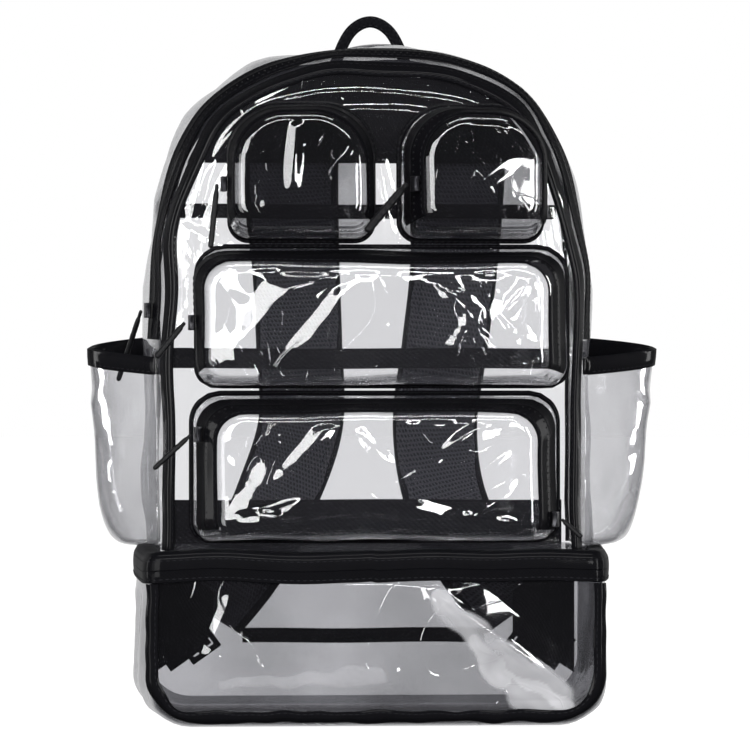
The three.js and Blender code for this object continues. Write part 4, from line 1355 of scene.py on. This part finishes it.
def makeYoke():
    setup = yoke
    y = backFaceY + body["gap"] + setup["standOff"]

    def place(u, v):
        z = lerp(setup["low"], setup["high"], v)
        half = domeHalf(z) - setup["edge"]
        x = lerp(-half, half, u)
        soft = noise.noise(Vector((x, z, 0)) * setup["softSize"]) * setup["soft"]
        out = setup["crown"] * hump(u) * hump(v) * 0.5
        return Vector((x, y + out + soft * ease(hump(u) * 3) * ease(hump(v) * 3), z))

    piece = bentGrid("yoke_cloth", setup["columns"], setup["rows"], place)
    wide = 2 * (domeHalf(setup["low"]) - setup["edge"])
    sheet(piece, setup["thickness"], webbing, "yoke")

    def row(v, face):
        above = Vector((0, face * setup["thickness"] * stitchSize["onCloth"], 0))
        return facingRow(lambda u: place(u, v) + above, face, (0.015, 0.985))

    stitchRow("yoke_stitches", [row(v, face) for face in (1, -1) for v in setup["stitchUp"]], "yoke")


tapes = {"names": ("back_tape_high", "back_tape_middle", "back_tape_low", "base_tape"),
         "thickness": 0.0014, "sag": 0.0006, "stations": 40, "stitchIn": 0.0016}


def makeBackTapes():
    setup = tapes
    for node in setup["names"]:
        low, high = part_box(node)
        middleY = (low.y + high.y) / 2
        height = high.z - low.z

        def place(along, a, b):
            x = lerp(low.x, high.x, along)
            drift = setup["sag"] * math.sin(along * math.pi * 3 + height * 90)
            return Vector((x, middleY + b, low.z + height / 2 + a + drift * 0.5))

        def row(a, face):
            above = face * setup["thickness"] * stitchSize["onTape"]
            return facingRow(lambda along: place(along, a, above), face, (0.01, 0.99))

        piece = loft(node + "_webbing", flatTape(height, setup["thickness"]), setup["stations"], place)
        dress(piece, webbing, node)
        inset = height / 2 - setup["stitchIn"]
        stitchRow(node + "_stitches", [row(a, face) for a in (-inset, inset) for face in (-1, 1)], node)


def curveThrough(points, t):  # a smooth run through a list of points
    k = clamp(t) * (len(points) - 1)
    i = min(int(k), len(points) - 2)
    s = k - i
    a, b, c, d = (points[min(max(i + j, 0), len(points) - 1)] for j in (-1, 0, 1, 2))
    straight = 2 * b + (c - a) * s
    return 0.5 * (straight + (2 * a - 5 * b + 4 * c - d) * s ** 2 + (3 * b - a - 3 * c + d) * s ** 3)


def curveFrame(points, t):  # a place on the curve, the way ahead, and the way sideways across the back
    ahead = curveThrough(points, t + 0.004) - curveThrough(points, t - 0.004)
    return curveThrough(points, t), ahead, ahead.cross(Vector((0, 1, 0))).normalized()


handle = {"x": 0.005, "halfSpan": 0.024, "splay": 0.007, "foot": 0.420, "spring": 0.446, "apex": 0.4745,
          "shoulderSpan": 0.58, "shoulderRise": 0.74, "width": 0.008, "thickness": 0.0046, "stations": 64,
          "sides": 20, "powers": (0.6, 0.8), "stitchOut": 0.32}


def makeHandle():
    setup = handle
    low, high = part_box("handle")
    y = (low.y + high.y) / 2
    half, middle = setup["halfSpan"], setup["x"]
    arm = [(half + setup["splay"], setup["foot"]), (half, setup["spring"]),
           (half * setup["shoulderSpan"], lerp(setup["spring"], setup["apex"], setup["shoulderRise"]))]
    route = [Vector((middle - x, y, z)) for x, z in arm]
    route.append(Vector((middle, y, setup["apex"])))
    route += [Vector((middle + x, y, z)) for x, z in reversed(arm)]

    def place(along, a, b):
        point, _, out = curveFrame(route, along)
        return point + out * a + Vector((0, b, 0))

    section = []
    for i in range(setup["sides"]):
        angle = 2 * math.pi * i / setup["sides"]
        wide, deep = math.cos(angle), math.sin(angle)
        section.append((math.copysign(abs(wide) ** setup["powers"][0], wide) * setup["width"] / 2,
                        math.copysign(abs(deep) ** setup["powers"][1], deep) * setup["thickness"] / 2))
    piece = loft("handle_webbing", section, setup["stations"], place)
    dress(piece, webbing, "handle")

    def row(a, face):
        above = face * setup["thickness"] * 0.44
        return facingRow(lambda along: place(along, a, above), face, (0.02, 0.98))

    edge = setup["width"] * setup["stitchOut"]
    stitchRow("handle_stitches", [row(a, face) for a in (-edge, edge) for face in (-1, 1)], "handle")


# padded shoulder straps with their webs, buckles and tabs

strapRows = [  # left x, right x, y, z, width, thickness
    (-0.050, 0.066, 0.0953, 0.402, 0.064, 0.009),
    (-0.050, 0.066, 0.103, 0.360, 0.064, 0.010),
    (-0.046, 0.065, 0.117, 0.305, 0.059, 0.011),
    (-0.0435, 0.059, 0.122, 0.250, 0.058, 0.011),
    (-0.0425, 0.052, 0.121, 0.195, 0.057, 0.011),
    (-0.059, 0.058, 0.114, 0.145, 0.055, 0.010),
    (-0.080, 0.078, 0.106, 0.100, 0.053, 0.009),
    (-0.105, 0.105, 0.097, 0.062, 0.044, 0.007),
]
strapRoutes = {
    -1: [Vector((left, y, z)) for left, right, y, z, *size in strapRows],
    1: [Vector((right, y, z)) for left, right, y, z, *size in strapRows],
}
strapSizes = [Vector((width, thickness, 0)) for *place, width, thickness in strapRows]
strap = {  # pinch: how far, and how near to it, the edge stitches pull the pad in
    "stations": 130, "across": 36, "edgeShare": 0.35, "stitchIn": 0.0075, "pinch": (0.22, 0.0000045),
    "soft": 0.0005, "softSize": 55, "fill": 0.5, "proud": 1.02, "stitchAcross": 0.74, "tackAcross": 0.72,
    "tacks": (0.014, 0.05), "binding": 0.0035, "bindingHalf": 0.0026, "bindingThickness": 0.0011,
    "bindingAcross": 0.985,
}


def strapPoint(side, along, across, face):  # across: -1 to 1; face: -1 at the bag, 1 at the wearer
    point, ahead, out = curveFrame(strapRoutes[side], along)
    normal = out.cross(ahead).normalized()
    if normal.y < 0:
        normal.negate()
    size = curveThrough(strapSizes, along)
    crown = lerp(strap["edgeShare"], 1, math.sqrt(max(1 - across ** 2, 0)))
    amount, run = strap["pinch"]
    pulled = 1 - amount * math.exp(-((1 - abs(across)) * size.x / 2 - strap["stitchIn"]) ** 2 / run)
    return point + out * across * size.x / 2 + normal * face * size.y / 2 * crown * pulled


def makeStrap(name, side):
    setup = strap
    node = "strap_pad_" + name
    section = [(lerp(-1, 1, i / setup["across"]), 1) for i in range(setup["across"] + 1)]
    section += [(lerp(1, -1, i / setup["across"]), -1) for i in range(setup["across"] + 1)]

    def place(along, a, b):
        point = strapPoint(side, along, a, b)
        return point + Vector((0, noise.noise(point * setup["softSize"]) * setup["soft"], 0))

    pad = loft("strap_pad_foam_" + name, section, setup["stations"], place)
    dress(pad, airMesh, node)

    reach, deep = setup["binding"], setup["bindingHalf"]
    fold = stripSection([
        (reach, deep), (reach * 0.4, deep), (-0.0004, 0.0018), (-0.0012, 0), (-0.0004, -0.0018),
        (reach * 0.4, -deep), (reach, -deep)], setup["bindingThickness"])
    for edgeName, edge in (("inner", -1), ("outer", 1)):
        def bindPlace(along, a, b):
            at, rim = lerp(0.002, 0.998, along), edge * setup["bindingAcross"]
            middle = strapPoint(side, at, rim, 0)
            inward = (strapPoint(side, at, edge * 0.8, 0) - middle).normalized()
            face = strapPoint(side, at, rim, 1) - middle
            return middle + inward * a + face.normalized() * b

        binding = loft(f"strap_binding_{name}_{edgeName}", fold, setup["stations"], bindPlace)
        dress(binding, wovenTape, node)

    def row(start, end, face):  # start and end: along and across the strap
        def route(t):
            along, across = lerp(start[0], end[0], t), lerp(start[1], end[1], t)
            point = strapPoint(side, along, across, face * setup["proud"])
            return point, point - strapPoint(side, along, across, 0)
        return route

    rim, wide = setup["stitchAcross"], setup["tackAcross"]
    rows = [row((0.01, edge * rim), (0.99, edge * rim), face) for edge in (-1, 1) for face in (-1, 1)]
    rows += [row((along, -wide), (along, wide), 1) for along in setup["tacks"]]  # sewn to the yoke
    stitchRow("strap_pad_stitches_" + name, rows, node)


web = {"width": 0.025, "start": (0.113, 0.054), "end": (0.141, 0.034), "thickness": 0.0014, "stations": 24}
tab = {
    "edge": 0.147, "low": 0.022, "high": 0.106, "tip": 0.104, "tipHalf": 0.015, "thickness": 0.0015,
    "grid": (14, 20),
    "stitches": [  # start and end, as shares across and up
        (0.15, 0.08, 0.15, 0.92), (0.15, 0.08, 0.85, 0.92),
        (0.15, 0.92, 0.85, 0.08), (0.85, 0.08, 0.85, 0.92),
    ],
}
buckle = {"x": 0.1186, "y": 0.0929, "z": 0.0492, "length": 0.024, "width": 0.036, "thickness": 0.004,
          "slot": 0.0045, "bar": 0.004, "edge": 0.0009}


def makeStrapEnd(name, side):
    low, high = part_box("strap_web_" + name)
    y = (low.y + high.y) / 2
    start, end = (Vector((side * x, y, z)) for x, z in (web["start"], web["end"]))
    run = (end - start).normalized()
    across = run.cross(Vector((0, 1, 0))).normalized()

    def webPlace(along, a, b):
        return start.lerp(end, along) + across * a + Vector((0, b, 0))

    section = flatTape(web["width"], web["thickness"])
    piece = loft("strap_web_tape_" + name, section, web["stations"], webPlace)
    dress(piece, webbing, "strap_web_" + name)
    makeTab(name, side)
    makeBuckle(name, side, run, across)


def makeTab(name, side):
    low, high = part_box("strap_tab_" + name)
    tabY = (low.y + high.y) / 2
    middleZ = (tab["low"] + tab["high"]) / 2

    def place(u, v):
        x = lerp(tab["tip"], tab["edge"], u)
        halfHigh = lerp(tab["tipHalf"], (tab["high"] - tab["low"]) / 2, u)
        return Vector((side * x, tabY, middleZ + lerp(-halfHigh, halfHigh, v)))

    def row(u0, v0, u1, v1):
        above = Vector((0, tab["thickness"] * stitchSize["onCloth"], 0))
        return facingRow(lambda t: place(lerp(u0, u1, t), lerp(v0, v1, t)) + above, 1)

    cloth = bentGrid("strap_tab_cloth_" + name, *tab["grid"], place)
    sheet(cloth, tab["thickness"], webbing, "strap_tab_" + name)
    stitchRow("strap_tab_stitches_" + name, [row(*line) for line in tab["stitches"]], "strap_tab_" + name)


def makeBuckle(name, side, run, across):  # a flat frame with two slots, square to the web
    setup = buckle
    half, wide, slot = setup["length"] / 2, setup["width"] / 2, setup["slot"] / 2
    columns = [-half, -half / 2 - slot, -half / 2 + slot, half / 2 - slot, half / 2 + slot, half]
    rows = [-wide, setup["bar"] - wide, wide - setup["bar"], wide]
    middle = Vector((side * setup["x"], setup["y"] + setup["thickness"] / 2, setup["z"]))
    ladder = startFrom(bpy.ops.mesh.primitive_grid_add, "strap_buckle_ladder_" + name,
                       x_subdivisions=5, y_subdivisions=3, size=2)
    bpy.ops.object.mode_set(mode="EDIT")
    bpy.ops.mesh.select_all(action="DESELECT")
    bpy.ops.object.mode_set(mode="OBJECT")
    for face in ladder.data.polygons:
        face.select = abs(face.center.y) < 0.2 and 0.2 < abs(face.center.x) < 0.6
    bpy.ops.object.mode_set(mode="EDIT")
    bpy.ops.mesh.select_mode(type="FACE")
    bpy.ops.mesh.delete(type="FACE")
    bpy.ops.object.mode_set(mode="OBJECT")
    for vertex in ladder.data.vertices:
        a, b = columns[round((vertex.co.x + 1) / 2 * 5)], rows[round((vertex.co.y + 1) / 2 * 3)]
        vertex.co = middle + run * a + across * b
    modify(ladder, "body", "SOLIDIFY", thickness=setup["thickness"] * 0.85, offset=0)
    modify(ladder, "edges", "BEVEL", width=setup["edge"], segments=3, limit_method="ANGLE")
    applyAll(ladder)
    softEdges(ladder, 40)
    dress(ladder, mouldedBlack, "strap_buckle_" + name)


# zip sliders and their pulls

pulls = {
    "upper_left": {"turn": 9.5, "radius": 0.0019, "lean": (-0.1, -0.25, -0.96), "length": 0.044},
    "upper_right": {"turn": 33.2, "radius": 0.0028, "lean": (-0.6, -0.4, -0.7), "length": 0.046},
    "middle": {"turn": 9.9, "radius": 0.002, "lean": (-0.62, -0.2, -0.76), "length": 0.030},
    "lower": {"turn": 24.8, "radius": 0.0017, "lean": (-0.72, -0.2, -0.66), "length": 0.034},
    "lower_right": {"turn": -25.0, "radius": 0.0017, "lean": (0.7, -0.3, -0.65), "length": 0.018},
    "main": {"turn": 17.3, "radius": 0.0018, "lean": (-0.3, 0.3, -0.9), "length": 0.052},
}
sliderShape = {"size": Vector((0.004, 0.008, 0.010)), "waist": 0.28, "slim": 0.62, "edge": 0.0005}


def makeSlider(name, setup):
    shape = sliderShape
    low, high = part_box("slider_" + name)
    middle = (low + high) / 2
    slider = startFrom(bpy.ops.mesh.primitive_cube_add, "slider_body_" + name, size=1)
    bpy.ops.object.mode_set(mode="EDIT")
    bpy.ops.mesh.select_all(action="SELECT")
    bpy.ops.mesh.subdivide(number_cuts=3)
    bpy.ops.object.mode_set(mode="OBJECT")
    turn = Matrix.Rotation(math.radians(setup["turn"]), 3, "Z")
    for vertex in slider.data.vertices:
        x, y, z = vertex.co
        waist = 1 - shape["waist"] * (1 - abs(z) * 2) if abs(y) > 0.4 else 1
        slim = shape["slim"] if abs(y) > 0.3 else 1.0
        shaped = Vector((x * slim * shape["size"].x, y * waist * shape["size"].y, z * shape["size"].z))
        vertex.co = middle + turn @ shaped
    modify(slider, "edges", "BEVEL", width=shape["edge"], segments=2)
    applyAll(slider)
    softEdges(slider, 40)
    dress(slider, blackedMetal, "slider_" + name)


pullShape = {  # profile: share of the length, share of the radius
    "profile": [(0.0, 0.3), (0.01, 0.62), (0.06, 0.66), (0.10, 0.62), (0.14, 0.9), (0.2, 0.98), (0.9, 1.0),
                (0.97, 0.92), (0.995, 0.6), (1.0, 0.25)],
    "stations": 72, "sides": 16, "rib": 0.05, "ribs": 9, "ribbed": (0.3, 0.85), "flatness": 0.82,
}


def pullWidth(t):
    profile = pullShape["profile"]
    for (t0, w0), (t1, w1) in zip(profile, profile[1:]):
        if t <= t1:
            return lerp(w0, w1, (t - t0) / (t1 - t0))
    return profile[-1][1]


def makePull(name, setup):
    shape = pullShape
    low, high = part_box("pull_" + name)
    middle = (low + high) / 2
    lean = Vector(setup["lean"]).normalized()
    half, radius = setup["length"] / 2, setup["radius"]
    sideways = lean.cross(Vector((0, 1, 0))).normalized()
    toward = sideways.cross(lean).normalized()
    ribStart, ribEnd = shape["ribbed"]

    def place(along, a, b):
        ribbed = ribStart < along < ribEnd
        grip = shape["rib"] * math.sin(along * 2 * math.pi * shape["ribs"]) if ribbed else 0
        wide = radius * (pullWidth(along) + grip)
        off = sideways * a * wide + toward * b * wide * shape["flatness"]
        return middle + lean * lerp(-half, half, along) + off

    angles = [2 * math.pi * i / shape["sides"] for i in range(shape["sides"])]
    section = [(math.cos(angle), math.sin(angle)) for angle in angles]
    piece = loft("pull_grip_" + name, section, shape["stations"], place)
    dress(piece, mouldedBlack, "pull_" + name)


# build everything

makeMainGusset()
makeFrontPanel()
makeBackPanel()
makeBindings()
makeMainZip()
print("main compartment made")
makeBaseGusset()
makeBaseFront()
makeBaseZip()
makeBaseBinding()
print("base compartment made")
for pocketName, pocket in pockets.items():
    makePocketShell(pocketName, pocket)
    makePocketZip(pocketName, pocket)
    makePocketSeam(pocketName, pocket)
print("front pockets made")
for sideName, sideSign in (("left", -1), ("right", 1)):
    makeSidePocket(sideName, sideSign)
    makeStrap(sideName, sideSign)
    makeStrapEnd(sideName, sideSign)
makeYoke()
makeBackTapes()
makeHandle()
print("back, straps and side pockets made")
for pullName, pullSetup in pulls.items():
    makeSlider(pullName, pullSetup)
    makePull(pullName, pullSetup)
print("zip pulls made")
for model in (stitchModel, toothModel):
    bpy.data.objects.remove(model)


# floor, light and camera

floorSettings = {"radius": 6.0, "middle": (0, 5.4, -0.0002), "colour": (0.2, 0.2, 0.2, 1), "rough": 0.8,
                 "glow": 0.95}


def makeFloor():
    setup = floorSettings
    floor = startFrom(bpy.ops.mesh.primitive_circle_add, "floor", vertices=96, radius=setup["radius"],
                      fill_type="NGON", location=setup["middle"])
    material = bpy.data.materials.new("paleFloor")
    material.use_nodes = True
    setSockets(material.node_tree.nodes["Principled BSDF"], {
        "Base Color": setup["colour"], "Roughness": setup["rough"],
        "Emission Color": (1, 1, 1, 1), "Emission Strength": setup["glow"]})
    floor.data.materials.append(material)
    floor.visible_glossy = False


lamps = {
    "key_left": {"place": (-1.0, -2.0, 0.9), "size": (1.1, 1.5), "power": 68},
    "strip_right": {"place": (1.5, -1.5, 0.5), "size": (0.3, 1.2), "power": 32},
    "upper_right": {"place": (0.7, -2.1, 0.72), "size": (0.4, 0.45), "power": 17},
    "card_left": {"place": (-1.9, -1.5, 0.3), "size": (1.2, 1.6), "power": 26},
    "overhead": {"place": (0.0, -0.6, 1.9), "size": (1.2, 0.22), "power": 13},
    "strip_top": {"place": (0.2, -1.9, 1.6), "size": (1.5, 0.14), "power": 18},
    "rim_left": {"place": (-1.7, 0.7, 0.6), "size": (0.3, 1.2), "power": 14},
    "rim_right": {"place": (1.7, 0.7, 0.6), "size": (0.3, 1.2), "power": 14},
}
lampAim = Vector((0, 0, 0.25))


def makeLamps():
    for name, setup in lamps.items():
        light = bpy.data.lights.new(name, "AREA")
        light.shape = "RECTANGLE"
        light.size, light.size_y = setup["size"]
        light.energy = setup["power"]
        lamp = bpy.data.objects.new(name, light)
        lamp.location = setup["place"]
        lamp.rotation_euler = (lampAim - Vector(setup["place"])).to_track_quat("-Z", "Y").to_euler()
        lamp.visible_camera = False
        bpy.context.scene.collection.objects.link(lamp)


worldGlow = {"start": (0.7, 0.85), "strength": (0.03, 0.95), "seen": 1.0}


def makeWorld():  # white to the camera, and for the rest bright only behind the bag
    world = bpy.data.worlds.new("studio")
    bpy.context.scene.world = world
    world.use_nodes = True
    tree = world.node_tree
    direction = addNode(tree, "ShaderNodeTexCoord").outputs["Generated"]
    split = addNode(tree, "ShaderNodeSeparateXYZ", {0: direction})
    behind = ramp(tree, split.outputs[1], worldGlow["start"], worldGlow["strength"])
    seen = addNode(tree, "ShaderNodeLightPath").outputs["Is Camera Ray"]
    strength = addNode(tree, "ShaderNodeMix", {0: seen, 2: behind, 3: worldGlow["seen"]})
    tree.links.new(strength.outputs[0], tree.nodes["Background"].inputs["Strength"])
    tree.nodes["Background"].inputs["Color"].default_value = (1, 1, 1, 1)


view = {"azimuth": -3.0, "elevation": 0.0, "distance": 2.5, "target": (0.0034, 0.0, 0.229),
        "lens": 179.0, "sensor": 36}


def makeCamera():
    azimuth, elevation = math.radians(view["azimuth"]), math.radians(view["elevation"])
    level = math.cos(elevation)
    ahead = Vector((-math.sin(azimuth) * level, math.cos(azimuth) * level, -math.sin(elevation)))
    data = bpy.data.cameras.new("camera")
    data.lens = view["lens"]
    data.sensor_width = view["sensor"]
    camera = bpy.data.objects.new("camera", data)
    camera.location = Vector(view["target"]) - ahead * view["distance"]
    camera.rotation_euler = ahead.to_track_quat("-Z", "Y").to_euler()
    bpy.context.scene.collection.objects.link(camera)
    bpy.context.scene.camera = camera


makeFloor()
makeLamps()
makeWorld()
makeCamera()
scene = bpy.context.scene
scene.view_settings.view_transform = "Standard"
scene.cycles.transparent_max_bounces = 64
scene.cycles.max_bounces = 16
print("stage ready")
